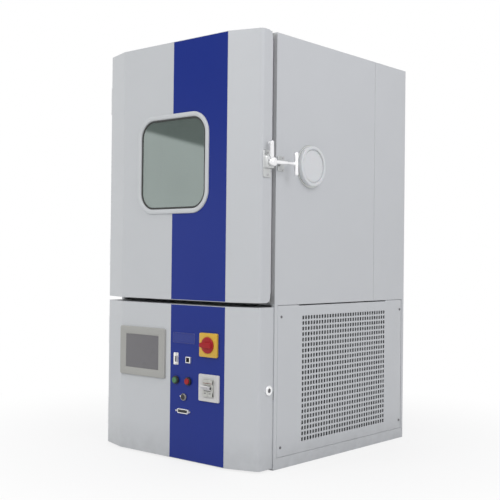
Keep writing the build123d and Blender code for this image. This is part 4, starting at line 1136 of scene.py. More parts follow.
lever = Form()
hub_x = 312 * mm
hub_place = on_right(hub_x, latch_y, latch_z)
lever.turned(
    hub_place,
    [
        (5.0 * mm, -11.0 * mm),
        (5.0 * mm, 0.0),
        (11.4 * mm, 0.0),
        (12.0 * mm, 0.8 * mm),
        (12.0 * mm, 8.6 * mm),
        (11.4 * mm, 10.8 * mm),
        (10.0 * mm, 12.6 * mm),
        (7.6 * mm, 13.6 * mm),
        (6.2 * mm, 13.8 * mm),
        (5.8 * mm, 13.1 * mm),
        (5.4 * mm, 13.1 * mm),
        (5.0 * mm, 14.0 * mm),
        (2.0 * mm, 14.0 * mm),
    ],
)
arm_length = 50.5 * mm
arm_end = 5 * mm
arm_root = 6.5 * mm
arm_turns = [math.radians(degrees) for degrees in range(20, 180, 20)]
arm_outline = [
    (arm_root, 0.0),
    (arm_end, arm_length),
    *[(arm_end * math.cos(t), arm_length + arm_end * math.sin(t)) for t in arm_turns],
    (-arm_end, arm_length),
    (-arm_root, 0.0),
]
lever.plate(hub_place, arm_outline, [], 0.0, 4 * mm)
lever.turned(
    on_right(hub_x, latch_y, latch_z + arm_length),
    [(3.6 * mm, -7.5 * mm), (4.5 * mm, -6.7 * mm), (4.5 * mm, 4.2 * mm), (3.8 * mm, 4.9 * mm)],
    32,
)
rod_start = Vector((hub_x + 7 * mm, latch_y, latch_z))
rod_end = Vector((332 * mm, -276 * mm, latch_z))
rod_length = (rod_end - rod_start).length
rod_step = rod_length * 0.58
lever.turned(
    bar_along(rod_start, rod_end),
    [
        (5.2 * mm, 6 * mm),
        (5.2 * mm, 20 * mm),
        (5.0 * mm, 22 * mm),
        (5.0 * mm, rod_step),
        (4.6 * mm, rod_step + 1 * mm),
        (3.8 * mm, rod_step + 2 * mm),
        (3.7 * mm, rod_length - 14 * mm),
        (4.4 * mm, rod_length - 8 * mm),
        (5.4 * mm, rod_length - 3 * mm),
    ],
    32,
)
grip_half = 31 * mm
half_profile = [
    (2.4 * mm, grip_half),
    (4.4 * mm, grip_half - 0.9 * mm),
    (5.6 * mm, grip_half - 2.6 * mm),
    (6.0 * mm, grip_half - 5.0 * mm),
    (5.5 * mm, 12 * mm),
]
lever.turned(
    lambda u, v, w: rod_end + Vector((u, v, w)),
    [
        *[(radius, -out) for radius, out in half_profile],
        (5.8 * mm, 0.0),
        *reversed(half_profile),
    ],
    32,
)
finished("latch_t_lever", lever.mesh("lever"), chrome, "latch", ["latch_lever"], 40)

keeper_low, keeper_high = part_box("latch_keeper")
keeper_place = on_right(keeper_low.x, 0, 0)
keeper_out = keeper_high.x - keeper_low.x
keeper = Form()
keeper.formed(
    keeper_place,
    rectangle(
        keeper_high.y - keeper_low.y,
        keeper_high.z - keeper_low.z,
        (keeper_low.y + keeper_high.y) / 2,
        (keeper_low.z + keeper_high.z) / 2,
    ),
    3 * mm,
    [(0, 0), (0, 2.2 * mm), (0.8 * mm, 3 * mm)],
)
lip_thick = 5 * mm
keeper.formed(
    keeper_place,
    rectangle(lip_thick, 16 * mm, keeper_low.y + lip_thick / 2, latch_z),
    1.4 * mm,
    [(0, 2.6 * mm), (0, keeper_out - 1.2 * mm), (1.0 * mm, keeper_out)],
)
finished("latch_strike", keeper.mesh("keeper"), cast_metal, "cabinet", ["latch_keeper"])

# Control panel
# The hinged front of the machine bay is folded like the door, and the blue film runs on
# down its right half, behind the controls.
panel_low, panel_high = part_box("control_panel")
finished(
    "panel_tray",
    folded_front("panel_tray", panel_low, panel_high, 0.5 * mm, []),
    grey_paint,
    "panel",
    ["control_panel"],
)
panel_film = Form()
panel_film.plate(
    on_front(0, nose_y, 0),
    rectangle(
        film_right,
        panel_high.z - panel_low.z - 2 * film_edge,
        film_right / 2,
        (panel_low.z + panel_high.z) / 2,
    ),
    [],
    film_low,
    film_high,
)
finished("panel_blue_film", panel_film.mesh("film"), blue_film_finish, "panel")
# A plain glossy plate with a paler rim is stuck on beside the main switch.
blank_finish = coated(
    "blank_plate", blue_colour, 0.14, 500.0, 0.00001, 0.02, uneven=0.03, Specular_IOR_Level=0.4
)
blank_place = on_front(51.5 * mm, nose_y, 336 * mm)
blank_width = 81 * mm
blank_height = 26 * mm
rim_width = 1.0 * mm
blank = Form()
blank.formed(
    blank_place,
    rectangle(blank_width, blank_height),
    1.5 * mm,
    [
        (0, film_high),
        (0, 0.8 * mm),
        (0.4 * mm, 1.1 * mm),
        (1.3 * mm, 1.1 * mm),
        (1.8 * mm, 0.5 * mm),
    ],
)
finished("blank_plate", blank.mesh("blank"), blank_finish, "panel")
rim_finish = coated("blank_rim", (0.075, 0.088, 0.33), 0.3, 500.0, 0.00001, 0.02, uneven=0.03)
blank_rim = Form()
blank_rim.formed(
    blank_place,
    rectangle(blank_width + 2 * rim_width, blank_height + 2 * rim_width),
    2 * mm,
    [
        (rim_width, film_high),
        (0, film_high),
        (0, 0.9 * mm),
        (0.3 * mm, 1.3 * mm),
        (0.8 * mm, 1.3 * mm),
        (rim_width, 1.0 * mm),
    ],
    ring=True,
)
finished("blank_rim", blank_rim.mesh("blank_rim"), rim_finish, "panel")

# Touch panel
# A grey-beige moulded bezel, proud of the sheet, around a matt grey touch screen that sits
# a little below its face.
touch_low, touch_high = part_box("touch_panel")
screen_low, screen_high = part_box("touch_screen")
touch_place = on_front(
    (touch_low.x + touch_high.x) / 2, nose_y, (touch_low.z + touch_high.z) / 2
)
bezel_finish = coated("touch_bezel", (0.405, 0.405, 0.385), 0.52, 1100.0, 0.00012, 0.02)
bezel = Form()
bezel_width = touch_high.x - touch_low.x
bezel_height = touch_high.z - touch_low.z
bezel_proud = nose_y - touch_low.y
screen_width = screen_high.x - screen_low.x
screen_height = screen_high.z - screen_low.z
across = (bezel_width - screen_width) / 2
upward = (bezel_height - screen_height) / 2
bezel_corner = 5 * mm
screen_corner = 1.0 * mm


def bezel_loop(share, drop):
    """Outline between the bezel's rim (share 0) and the screen's opening (share 1)."""
    corners = rectangle(bezel_width - 2 * across * share, bezel_height - 2 * upward * share)
    radius = bezel_corner * (1 - share) + screen_corner * share
    return [touch_place(u, v, bezel_proud - drop) for u, v in rounded_loop(corners, radius, 6)]


bezel.loft(
    [
        bezel_loop(0.0, bezel_proud),
        bezel_loop(0.0, 1.9 * mm),
        bezel_loop(0.02, 0.9 * mm),
        bezel_loop(0.06, 0.2 * mm),
        bezel_loop(0.11, 0.0),
        bezel_loop(0.78, 0.0),
        bezel_loop(0.82, 0.25 * mm),
        bezel_loop(0.97, 1.1 * mm),
        bezel_loop(1.0, 2.4 * mm),
    ],
    end=False,
)
# The body behind the sheet is narrower than the bezel.
back_inset = 7 * mm
bezel.formed(
    touch_place,
    rectangle(bezel_width - 2 * back_inset, bezel_height - 2 * back_inset),
    1 * mm,
    [(0, nose_y - touch_high.y), (0, 0.0)],
    end=False,
)
finished(
    "touch_bezel",
    bezel.mesh("bezel"),
    bezel_finish,
    "panel",
    ["touch_panel"],
)
screen_colour = (0.158, 0.154, 0.163)
screen_finish = coated(
    "touch_screen_glass", screen_colour, 0.30, 1600.0, 0.00001, 0.03, Specular_IOR_Level=0.5
)
screen = Form()
screen.formed(
    touch_place,
    rectangle(screen_width, screen_height),
    screen_corner,
    [
        (0, bezel_proud - 3.6 * mm),
        (0, bezel_proud - 1.25 * mm),
        (0.3 * mm, bezel_proud - 1.2 * mm),
    ],
)
finished(
    "touch_screen_film",
    screen.mesh("screen"),
    screen_finish,
    "panel",
    ["touch_screen"],
)

# Main switch
# A yellow moulded plate, held by the switch's body from behind, carries a red moulded rotary
# knob; the level grip points left when off.
switch_place = on_front(147 * mm, nose_y, 323 * mm)
yellow = coated("yellow_plastic", (0.70, 0.43, 0.045), 0.36, 900.0, 0.00006, 0.03)
switch_base = Form()
plate_size = 64 * mm
plate_out = nose_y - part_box("main_switch_base")[0].y
switch_base.formed(
    switch_place,
    rectangle(plate_size, plate_size),
    4 * mm,
    [
        (0, 0),
        (0, plate_out - 1.4 * mm),
        (0.4 * mm, plate_out - 0.5 * mm),
        (1.3 * mm, plate_out),
    ],
)
switch_base.turned(
    switch_place,
    [
        (27 * mm, plate_out - 0.1 * mm),
        (27 * mm, plate_out + 0.2 * mm),
        (26.4 * mm, plate_out + 0.35 * mm),
        (24.6 * mm, plate_out + 0.35 * mm),
        (24.2 * mm, plate_out - 0.2 * mm),
    ],
)
# The switch's body and its neck, behind the sheet
switch_base.formed(
    switch_place, rectangle(48 * mm, 48 * mm), 2 * mm, [(0, -40 * mm), (0, -1.5 * mm)]
)
switch_base.turned(switch_place, [(15 * mm, -1.6 * mm), (15 * mm, 0.1 * mm)])
finished(
    "main_switch_plate",
    switch_base.mesh("base"),
    yellow,
    "panel",
    ["main_switch_base"],
)
red = coated(
    "red_plastic", (0.36, 0.008, 0.013), 0.38, 900.0, 0.00006, 0.04, Specular_IOR_Level=0.35
)
knob = Form()
skirt = plate_out + 0.45 * mm
knob.turned(
    switch_place,
    [
        (5 * mm, skirt - 12 * mm),
        (5 * mm, skirt),
        (21.4 * mm, skirt),
        (22.0 * mm, skirt + 0.5 * mm),
        (22.0 * mm, skirt + 1.6 * mm),
        (21.5 * mm, skirt + 2.6 * mm),
        (20.2 * mm, skirt + 3.2 * mm),
        (12.0 * mm, skirt + 3.6 * mm),
    ],
    64,
)
# The grip stands 12 mm lower than the solid's.
grip_out = nose_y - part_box("main_switch_knob")[0].y - 12 * mm
grip_edge = [(-24.5 * mm, -6.0 * mm), (-8 * mm, -9.0 * mm), (17 * mm, -8.0 * mm)]
knob.formed(
    switch_place,
    [*grip_edge, *[(u, -v) for u, v in reversed(grip_edge)]],
    3.4 * mm,
    [
        (0, skirt + 0.6 * mm),
        (0.1 * mm, skirt + 3.5 * mm),
        (0.5 * mm, grip_out - 3 * mm),
        (0.9 * mm, grip_out - 1.2 * mm),
        (1.6 * mm, grip_out - 0.3 * mm),
        (2.6 * mm, grip_out),
    ],
)
finished("main_switch_grip", knob.mesh("knob"), red, "knob", ["main_switch_knob"])

# Circuit breaker
# A two-pole breaker looks out of a moulded off-white frame; its two levers are tied and
# lie up. The body steps down above and below them.
off_white = coated("off_white_plastic", (0.655, 0.65, 0.645), 0.40, 800.0, 0.00006, 0.025)
body_white = coated("breaker_white", (0.56, 0.565, 0.53), 0.45, 900.0, 0.00006, 0.03)
breaker_x = 149 * mm
breaker_z = 209 * mm
breaker_place = on_front(breaker_x, nose_y, breaker_z)
breaker_frame = Form()
surround_width = 74 * mm
surround_height = 72 * mm


def breaker_loop(width, height, radius, out):
    """Rounded outline on the breaker's frame."""
    return [
        breaker_place(u, v, out) for u, v in rounded_loop(rectangle(width, height), radius, 6)
    ]


breaker_frame.loft(
    [
        breaker_loop(surround_width, surround_height, 4 * mm, 0.0),
        breaker_loop(surround_width, surround_height, 4 * mm, 3.2 * mm),
        breaker_loop(surround_width - 0.8 * mm, surround_height - 0.8 * mm, 3.6 * mm, 4.3 * mm),
        breaker_loop(surround_width - 2.6 * mm, surround_height - 2.6 * mm, 3.0 * mm, 5.0 * mm),
        breaker_loop(47 * mm, 55 * mm, 1.5 * mm, 5.0 * mm),
        breaker_loop(45.6 * mm, 53.6 * mm, 1.2 * mm, 4.6 * mm),
        breaker_loop(37.0 * mm, 46.0 * mm, 0.8 * mm, 3.9 * mm),
        breaker_loop(36.5 * mm, 45.5 * mm, 0.6 * mm, 3.6 * mm),
        breaker_loop(36.5 * mm, 45.5 * mm, 0.6 * mm, 0.0),
    ],
    ring=True,
)
finished(
    "breaker_surround",
    breaker_frame.mesh("surround"),
    off_white,
    "panel",
    ["breaker_frame"],
)
breaker = Form()
pole_width = 17.6 * mm
pole_edge = 0.6 * mm
case_width = 36 * mm
case_step = -1.5 * mm
for side in (-1, 1):
    # Each pole: a face with the window of its lever, and a raised block above and below it
    centre = side * 9.1 * mm
    face = rounded_loop(rectangle(pole_width, 44.6 * mm, centre, 0), pole_edge, 2)
    lever_window = rounded_loop(
        rectangle(12.6 * mm, 17 * mm, centre - side * 2.1 * mm, 0.5 * mm), 0.5 * mm, 2
    )
    breaker.plate(breaker_place, face, [list(reversed(lever_window))], 5.6 * mm, 8.8 * mm)
    for level in (-1, 1):
        breaker.formed(
            breaker_place,
            rectangle(pole_width, 11.6 * mm, centre, level * 16.4 * mm),
            pole_edge,
            [(0, 5 * mm), (0.0, 8.7 * mm), (0.3 * mm, 9.0 * mm)],
            2,
        )
for height, edge, back, front in (
    (45 * mm, pole_edge, case_step, 5.7 * mm),
    (80 * mm, 1 * mm, -53.5 * mm, case_step),
):
    breaker.formed(
        breaker_place, rectangle(case_width, height), edge, [(0, back), (0, front)], 2
    )
finished("breaker_case", breaker.mesh("breaker"), body_white, "panel", ["breaker_body"])
# A brown-red ridge lies over the levers, and each pole has a small dark state window below.
ridge_finish = coated("ridge_brown", (0.20, 0.075, 0.06), 0.45, 900.0, 0.00004, 0.05)
face_out = 8.9 * mm
ridge = Form()
ridge.formed(
    on_front(breaker_x, nose_y, breaker_z + 13.4 * mm),
    rectangle(33 * mm, 1.5 * mm),
    0.4 * mm,
    [(0, face_out), (0, 9.15 * mm), (0.3 * mm, 9.35 * mm)],
    2,
)
finished("breaker_ridge", ridge.mesh("ridge"), ridge_finish, "panel")
windows = Form()
for side in (-1, 1):
    windows.formed(
        on_front(breaker_x + side * 8.6 * mm, nose_y, breaker_z - 13.2 * mm),
        rectangle(7 * mm, 2.4 * mm),
        0.4 * mm,
        [(0, face_out), (0, 9.1 * mm), (0.2 * mm, 9.15 * mm)],
        2,
    )
finished("breaker_windows", windows.mesh("windows"), screen_finish, "panel")
# The tied levers are one bar, shaped in the plane across their hub, as seen from the right.
toggle_low, toggle_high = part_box("breaker_toggle")
toggle_width = toggle_high.x - toggle_low.x
hub_out = 9 * mm
toggle_place = on_right(toggle_low.x, nose_y - hub_out, breaker_z)
tilt = math.radians(180 - 25)
lever_reach = 17.5 * mm
straight_lever = rounded_loop(
    [(0, -4.2 * mm), (lever_reach, -2.6 * mm), (lever_reach, 2.2 * mm), (0, 4.2 * mm)],
    1.2 * mm,
    4,
)
lever_shape = [
    (u * math.cos(tilt) - v * math.sin(tilt), u * math.sin(tilt) + v * math.cos(tilt))
    for u, v in straight_lever
]
end_scale = 0.94
end_round = 0.4 * mm
toggle = Form()
for shape in (circle(5.9 * mm, 32), lever_shape):
    toggle.loft(
        [
            [toggle_place(u * scale, v * scale, across) for u, v in shape]
            for scale, across in (
                (end_scale, 0.0),
                (1, end_round),
                (1, toggle_width - end_round),
                (end_scale, toggle_width),
            )
        ]
    )
finished(
    "breaker_levers",
    toggle.mesh("toggle"),
    off_white,
    "toggle",
    ["breaker_toggle"],
)

# Push buttons
# Black moulded sleeves with a raised rim; the green and red caps move in them on springs.
black_plastic = coated("black_plastic", (0.022, 0.022, 0.024), 0.45, 900.0, 0.0001, 0.12)
green = coated("green_plastic", (0.055, 0.19, 0.075), 0.35, 900.0, 0.00006, 0.05)
button_z = 220 * mm
sleeve_bore = 8.2 * mm
stem_radius = 0.6 * mm
neck_radius = 7.0 * mm
neck_back = -22 * mm
collar_radius = 11.0 * mm
sleeves = Form()
for name, x, finish in (("green", 24 * mm, green), ("red", 71 * mm, red)):
    button_place = on_front(x, nose_y, button_z)
    sleeves.turned(
        button_place,
        [
            (sleeve_bore, 1.0 * mm),
            (stem_radius, 0.9 * mm),
            (stem_radius, neck_back),
            (neck_radius, neck_back),
            (neck_radius, 0.0),
            (collar_radius, 0.0),
            (collar_radius, 5.4 * mm),
            (10.7 * mm, 6.4 * mm),
            (10.2 * mm, 7.2 * mm),
            (9.6 * mm, 7.5 * mm),
            (8.6 * mm, 7.3 * mm),
            (sleeve_bore, 6.8 * mm),
        ],
        40,
        ring=True,
    )
    cap_low, cap_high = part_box(f"{name}_button")
    cap_radius = 8.0 * mm
    back = nose_y - cap_high.y
    top = nose_y - cap_low.y - 2 * mm
    cap = Form()
    cap.turned(
        button_place,
        [
            (7.6 * mm, back),
            (cap_radius, back + 0.4 * mm),
            (cap_radius, top - 1.6 * mm),
            (7.7 * mm, top - 0.8 * mm),
            (7.1 * mm, top - 0.25 * mm),
            (6.2 * mm, top - 0.1 * mm),
            (5.2 * mm, top - 0.25 * mm),
            (3.0 * mm, top - 0.5 * mm),
            (1.0 * mm, top - 0.55 * mm),
        ],
        40,
    )
    finished(
        f"{name}_button_cap",
        cap.mesh("cap"),
        finish,
        f"{name}_key",
        [f"{name}_button"],
        50,
    )
finished(
    "button_sleeves_moulded",
    sleeves.mesh("sleeves"),
    black_plastic,
    "panel",
    ["button_sleeves"],
)

# Sockets
# Two D-shaped sockets and a network socket have nickel-plated shells and black inserts, and
# the D-shaped ones jack screws. The round socket is turned, with a darker nickel plating.
nickel = plated("nickel", (0.90, 0.89, 0.87), 0.46)
dark_nickel = plated("dark_nickel", (0.36, 0.35, 0.33), 0.30)
socket_shells = Form()
socket_inserts = Form()


def d_shape(long_side, short_side, depth):
    """Corners of a D-shaped shell, longer along its upper side."""
    return [
        (-short_side / 2, -depth / 2),
        (short_side / 2, -depth / 2),
        (long_side / 2, depth / 2),
        (-long_side / 2, depth / 2),
    ]


def d_socket(x, z, screw_span, shell_long, shell_deep, poles, upright):
    """D shell, insert with holes and two jack screws, through the sheet from behind."""
    level_place = on_front(x, nose_y, z)
    place = (lambda u, v, w: level_place(v, -u, w)) if upright else level_place
    shell = d_shape(shell_long, shell_long - 2.6 * mm, shell_deep)
    rim = 0.19 * shell_deep
    socket_shells.formed(
        place,
        shell,
        2.4 * mm,
        [
            (0, 0),
            (0, 5.4 * mm),
            (0.3 * mm, 5.9 * mm),
            (rim - 0.3 * mm, 6.0 * mm),
            (rim, 5.6 * mm),
            (rim, 2.0 * mm),
        ],
        5,
        start=False,
    )
    insert = rounded_loop(inset_corners(shell, rim + 0.1 * mm), 1.2 * mm, 4)
    long_row = (poles + 1) // 2
    pitch = 2.76 * mm
    row_half = 1.42 * mm
    holes = []
    for v, count in ((row_half, long_row), (-row_half, poles - long_row)):
        for number in range(count):
            u = (number - (count - 1) / 2) * pitch
            holes.append(list(reversed(circle(0.65 * mm, 8, u, v))))
    socket_inserts.plate(place, insert, holes, 2.3 * mm, 5.5 * mm)
    for reach in (-screw_span / 2, screw_span / 2):
        socket_shells.turned(
            lambda u, v, w: place(reach + u, v, w),
            [
                (2.6 * mm, 0),
                (2.6 * mm, 5.6 * mm),
                (2.3 * mm, 5.9 * mm),
                (1.5 * mm, 5.9 * mm),
                (1.4 * mm, 3.0 * mm),
            ],
            6,
        )


upper_row_z = 278 * mm
# The upright socket sits on a plate of its own.
socket_shells.formed(
    on_front(22.5 * mm, nose_y, upper_row_z),
    rectangle(18 * mm, 33 * mm),
    2 * mm,
    [(0, 0), (0, 1.2 * mm), (0.4 * mm, 1.7 * mm)],
    4,
)
d_socket(
    26.5 * mm,
    upper_row_z,
    screw_span=27.2 * mm,
    shell_long=20.8 * mm,
    shell_deep=9.0 * mm,
    poles=9,
    upright=True,
)
d_socket(
    54 * mm,
    137.5 * mm,
    screw_span=49.6 * mm,
    shell_long=41 * mm,
    shell_deep=12.4 * mm,
    poles=25,
    upright=False,
)
network_place = on_front(72 * mm, nose_y, upper_row_z)
socket_shells.formed(
    network_place,
    rectangle(17.4 * mm, 17 * mm),
    1 * mm,
    [
        (0, 0),
        (0, 5.2 * mm),
        (0.5 * mm, 5.8 * mm),
        (1.0 * mm, 6.0 * mm),
        (2.3 * mm, 6.0 * mm),
        (2.5 * mm, 5.6 * mm),
    ],
    4,
    end=False,
)
socket_inserts.formed(
    network_place,
    rectangle(12.6 * mm, 10.6 * mm),
    0.4 * mm,
    [(-0.2 * mm, 5.7 * mm), (0, 5.6 * mm), (0, 1.0 * mm)],
    3,
    start=False,
)
round_place = on_front(55 * mm, nose_y, 176 * mm)
round_shell = Form()
round_shell.turned(
    round_place,
    [
        (10 * mm, 0),
        (10 * mm, 3.4 * mm),
        (9.5 * mm, 4.2 * mm),
        (9.0 * mm, 4.4 * mm),
        (8.8 * mm, 5.6 * mm),
        (8.4 * mm, 6.0 * mm),
        (7.9 * mm, 6.0 * mm),
        (7.6 * mm, 5.6 * mm),
        (7.6 * mm, 2.4 * mm),
    ],
    36,
    end=False,
)
finished("round_socket", round_shell.mesh("round"), dark_nickel, "panel")
pin_count = 5
pin_circle = 3.2 * mm
pin_holes = [
    list(reversed(circle(0.7 * mm, 8, pin_circle * math.cos(turn), pin_circle * math.sin(turn))))
    for turn in [math.tau * number / pin_count + 0.3 for number in range(pin_count)]
]
socket_inserts.plate(round_place, circle(7.6 * mm, 24), pin_holes, 2.0 * mm, 4.6 * mm)
# A small dome-headed screw stands beside the round socket.
socket_shells.turned(
    on_front(41.5 * mm, nose_y, 177 * mm),
    [(2.6 * mm, 0), (2.6 * mm, 1.0 * mm), (2.0 * mm, 1.7 * mm), (0.9 * mm, 2.0 * mm)],
    16,
)
finished("socket_shells", socket_shells.mesh("shells"), nickel, "panel", ["data_sockets"])
finished("socket_inserts", socket_inserts.mesh("inserts"), black_plastic, "panel")

# Key lock
# A chrome plated cylinder lock in the panel's right edge, with a rotor of dark zinc; its cam
# closes behind the post.
dress(chrome, "lock_body")
dress(dark_zinc, "lock_rotor")

# Machine bay
# Compressor, condenser, fan and terminal box stand on the tray. Castings and shroud are
# black, and the box is grey. The fins are aluminium; their dark colour is painted shade for
# the dim bay and duct around them.
black_paint = coated("black_paint", (0.018, 0.018, 0.020), 0.38, 500.0, 0.00015, 0.2)
dress(black_paint, "compressor", "fan_shroud", "blower_motor")
# Painted shade: the fins' aluminium gets a dark base colour for the dimness around them.
fins_in_painted_shade = brushed("fins_in_painted_shade", (0.22, 0.225, 0.23), 0.5, (900.0, 900.0, 30.0))
dress(fins_in_painted_shade, "condenser_coil", "evaporator_coil", "blower_wheel")
dress(black_plastic, "cooling_fan", "supply_inlet")
box_grey = coated("box_grey", (0.40, 0.41, 0.41), 0.5, 700.0, 0.0001, 0.03)
dress(box_grey, "electric_box")

# Screws
# Zinc plated pan-head screws with a cross recess hold the panels, the hinges and the latch.
# The head's sizes are shares of its radius.
screw = Form()
arm, half = 0.52, 0.15
quarter = [(half, -arm), (half, -half), (arm, -half)]
cross = []
for _ in range(4):
    cross += quarter
    quarter = [(-v, u) for u, v in quarter]
top_radius, top_height = 0.76, 0.55
recess_scale, recess_height = 0.8, 0.18
rim = [(1.0, 0.0), (1.0, 0.22), (0.93, 0.42), (top_radius, top_height)]
screw.turned(lambda *point: Vector(point), rim, 20, start=False, end=False)
top = circle(top_radius, 20)
first = len(screw.points)
screw.points += [Vector((u, v, top_height)) for u, v in [*top, *reversed(cross)]]
screw.faces += [
    tuple(first + i for i in triangle) for triangle in filled(top, [list(reversed(cross))])
]
screw.loft(
    [
        [Vector((u, v, top_height)) for u, v in cross],
        [Vector((u * recess_scale, v * recess_scale, recess_height)) for u, v in cross],
    ],
    start=False,
)
screw_piece = bpy.data.objects.new("screw_head", screw.mesh("screw_head"))
bpy.context.scene.collection.objects.link(screw_piece)

wire, socket = geometry_tree(
    "screw_rows", Screw="Object", Radius="Float", Seed="Int", Finish="Material"
)
facing = wire.node(
    "GeometryNodeInputNamedAttribute", {"Name": "facing"}, data_type="FLOAT_VECTOR"
)
turned_out = wire.node("FunctionNodeAlignRotationToVector", {"Vector": facing}, axis="Z")
spin = wire.node(
    "FunctionNodeRandomValue",
    {"Min": (0, 0, 0), "Max": (0, 0, math.pi), "Seed": socket["Seed"]},
    data_type="FLOAT_VECTOR",
)
spun = wire.node("FunctionNodeEulerToRotation", {0: spin})
turned_out = wire.node(
    "FunctionNodeRotateRotation", {0: turned_out, 1: spun}, rotation_space="LOCAL"
)
head = wire.node("GeometryNodeObjectInfo", {"Object": socket["Screw"]}, output="Geometry")
size = wire.node("ShaderNodeCombineXYZ", {axis: socket["Radius"] for axis in range(3)})
heads = wire.node(
    "GeometryNodeInstanceOnPoints",
    {
        "Points": socket["Geometry"],
        "Instance": head,
        "Rotation": turned_out,
        "Scale": size,
    },
)
close_tree(wire, heads, socket["Finish"])
screw_tree = wire.tree
zinc = plated("zinc", (0.52, 0.52, 0.53), 0.34)
left, right, rear = (-1, 0, 0), (1, 0, 0), (0, 1, 0)


def screws(name, body, radius, seed, places, finish=zinc):
    """One piece with every screw head of a body; places are points with their facing."""
    points = bpy.data.meshes.new(name)
    points.from_pydata([point for point, _ in places], [], [])
    attribute = points.attributes.new("facing", "FLOAT_VECTOR", "POINT")
    for item, (_, way) in zip(attribute.data, places):
        item.vector = way
    solid = grown(points, screw_tree, Screw=screw_piece, Radius=radius, Seed=seed, Finish=finish)
    finished(name, solid, finish, body)


side_x = vent_high.x
rear_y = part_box("casing_back")[1].y
# Corners of the bay's two side panels, in millimetres
panel_screws = []
for y, z in ((-292, 401), (296, 401), (-292, 56), (296, 56)):
    panel_screws.append(((side_x, y * mm, z * mm), right))
    panel_screws.append(((-side_x, y * mm, z * mm), left))
# Edges of the upper tier's back sheet, then of the bay's rear panel
back_top, back_bottom = 1115, 470
for z in (back_bottom, 640, 810, 980, back_top):
    panel_screws += [((x * mm, rear_y, z * mm), rear) for x in (-285, 285)]
for x in (-278, 278):
    panel_screws += [((x * mm, rear_y, z * mm), rear) for z in (50, 230, 410)]
for x in (-140, 0, 140):
    panel_screws += [((x * mm, rear_y, z * mm), rear) for z in (back_top, back_bottom)]
screws("cabinet_screws", "cabinet", 3.6 * mm, 3, panel_screws, dark_zinc)
# Three in each hinge leaf, two in the latch's bracket and two in its keeper
hinge_screws = {"cabinet": [], "door": [], "panel": []}
leaf_middle = 11 * mm
leaf_end = 14 * mm
for node in hinge_nodes:
    low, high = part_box(node)
    owner = "cabinet" if node.endswith("pin") else node.split("_")[0]
    leaf_y = high.y - leaf_middle if owner == "cabinet" else low.y + leaf_middle
    face_x = -303 * mm if owner == "cabinet" else -300 * mm
    for z in (low.z + leaf_end, (low.z + high.z) / 2, high.z - leaf_end):
        hinge_screws[owner].append(((face_x, leaf_y, z), left))
casting_plate = 3 * mm
for z in (772, 829.5):
    hinge_screws["door"].append(((bracket_low.x + casting_plate, latch_y, z * mm), right))
for z in (789, 821):
    place = (keeper_low.x + casting_plate, -297 * mm, z * mm)
    hinge_screws["cabinet"].append((place, right))
for number, (owner, places) in enumerate(hinge_screws.items()):
    screws(f"{owner}_hardware_screws", owner, 3.0 * mm, 11 + number, places)
bpy.data.objects.remove(screw_piece)

# Studio
# A pale floor that runs into a pale surround, two soft lamps, and the camera at the
# photograph's place.


def backdrop_ray(wire):
    """1 for the camera's rays and for those that metal and glass send on, 0 for soft light."""
    return sum(
        wire.node("ShaderNodeLightPath", output=f"Is {kind} Ray")
        for kind in ("Camera", "Glossy", "Transmission")
    )


floor_finish, wire, shader = surface("studio_floor", Roughness=0.7)
place = wire.node("ShaderNodeTexCoord", output="Object")
grain = wire.node("ShaderNodeTexNoise", {"Vector": place, "Scale": 3.0})
plug_in(shader, Base_Color=wire.blend(grain, (0.70, 0.70, 0.70, 1), (0.72, 0.72, 0.72, 1)))
ray = backdrop_ray(wire)
glow = wire.node("ShaderNodeEmission", {"Color": (1, 1, 1, 1), "Strength": 1.0})
near = wire.node(
    "ShaderNodeMapRange",
    {
        "Value": wire.node("ShaderNodeVectorMath", {0: place}, output="Value", operation="LENGTH"),
        "From Min": 0.35,
        "From Max": 1.3,
        "To Min": 0.80,
        "To Max": 1.0,
    },
    interpolation_type="SMOOTHSTEP",
)
lit = Wire(wire.tree, shader.outputs[0])
both = wire.node("ShaderNodeMixShader", {0: ray * near, 1: lit, 2: glow})
output = [node for node in wire.tree.nodes if node.type == "OUTPUT_MATERIAL"][0]
wire.tree.links.new(both.socket, output.inputs[0])
floor = Form()
floor.plate(lambda u, v, w: Vector((u, v, w)), circle(30.0, 64), [], -0.02, 0.0)
floor_mesh = floor.mesh("studio_floor")
floor_mesh.materials.append(floor_finish)
floor_piece = bpy.data.objects.new("studio_floor", floor_mesh)
bpy.context.scene.collection.objects.link(floor_piece)

world = bpy.data.worlds.new("studio")
bpy.context.scene.world = world
world.use_nodes = True
wire = Wire(world.node_tree)
world.node_tree.nodes.clear()
direction = wire.node("ShaderNodeTexCoord", output="Generated")
height = wire.node("ShaderNodeSeparateXYZ", {0: direction}, output="Z")
sideways = wire.node("ShaderNodeSeparateXYZ", {0: direction}, output="X")
level = wire.node(
    "ShaderNodeMapRange",
    {"Value": height, "From Min": -0.15, "From Max": 0.9, "To Min": 0.26, "To Max": 0.80},
    interpolation_type="SMOOTHSTEP",
)
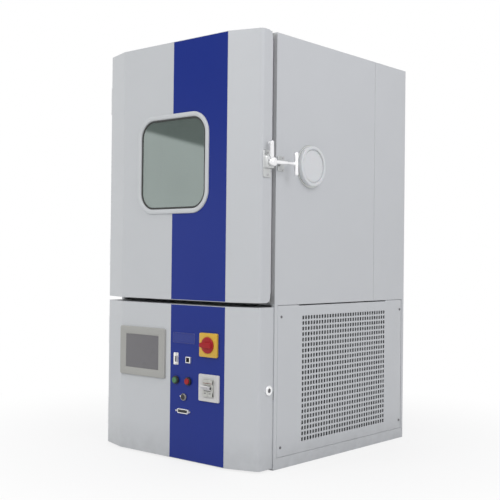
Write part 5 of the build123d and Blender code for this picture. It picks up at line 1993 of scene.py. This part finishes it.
# What shines sees a bright room on the front left, up to a little above eye level.
toward = wire.node(
    "ShaderNodeVectorMath",
    {0: direction, 1: (-0.715, -0.70, 0.0)},
    output="Value",
    operation="DOT_PRODUCT",
)
room_side = wire.node(
    "ShaderNodeMapRange",
    {"Value": toward, "From Min": 0.72, "From Max": 0.96},
    interpolation_type="SMOOTHSTEP",
)
room_top = wire.node(
    "ShaderNodeMapRange",
    {
        "Value": height + sideways * 0.357 + 0.2535,
        "From Min": 0.126,
        "From Max": 0.132,
        "To Min": 0.30,
        "To Max": -0.75,
    },
    interpolation_type="SMOOTHSTEP",
)
shine = wire.node("ShaderNodeLightPath", output="Is Glossy Ray")
plain = wire.node("ShaderNodeBackground", {"Color": (1, 1, 1, 1), "Strength": level})
seen_level = 1.0 + shine * room_side * room_top
seen = wire.node("ShaderNodeBackground", {"Color": (1, 1, 1, 1), "Strength": seen_level})
both = wire.node("ShaderNodeMixShader", {0: backdrop_ray(wire), 1: plain, 2: seen})
world_output = world.node_tree.nodes.new("ShaderNodeOutputWorld")
world.node_tree.links.new(both.socket, world_output.inputs[0])


def lamp(name, place, target, size, power, colour=(1, 1, 1)):
    """Square soft lamp aimed at a point."""
    light = bpy.data.lights.new(name, "AREA")
    light.size = size
    light.energy = power
    light.color = colour
    made = bpy.data.objects.new(name, light)
    made.location = place
    made.rotation_euler = (Vector(target) - Vector(place)).to_track_quat("-Z", "Y").to_euler()
    bpy.context.scene.collection.objects.link(made)


lamp("key_lamp", (-0.7, -3.4, 2.6), (0, 0, 0.6), 2.2, 40.0)
lamp("side_lamp", (2.4, -0.5, 2.2), (0.3, -0.15, 1.0), 1.7, 24.0, (0.97, 0.955, 1.0))

camera_place = Vector((1.8258, -2.1913, 0.5533))
camera_yaw, camera_pitch, camera_roll = 0.7116, 0.0097, 0.0108
forward = Vector(
    (
        -math.sin(camera_yaw) * math.cos(camera_pitch),
        math.cos(camera_yaw) * math.cos(camera_pitch),
        math.sin(camera_pitch),
    )
)
level_right = forward.cross(Vector((0, 0, 1))).normalized()
level_up = level_right.cross(forward)
camera_right = level_right * math.cos(camera_roll) + level_up * math.sin(camera_roll)
camera_up = level_up * math.cos(camera_roll) - level_right * math.sin(camera_roll)
camera_data = bpy.data.cameras.new("camera")
# In millimetres, as Blender takes them
camera_data.sensor_width = 36.0
camera_data.lens = 66.31
camera = bpy.data.objects.new("camera", camera_data)
camera.matrix_world = Matrix.Translation(camera_place) @ Matrix(
    (camera_right, camera_up, -forward)
).transposed().to_4x4()
bpy.context.scene.collection.objects.link(camera)
bpy.context.scene.camera = camera
bpy.context.scene.view_settings.view_transform = "Standard"
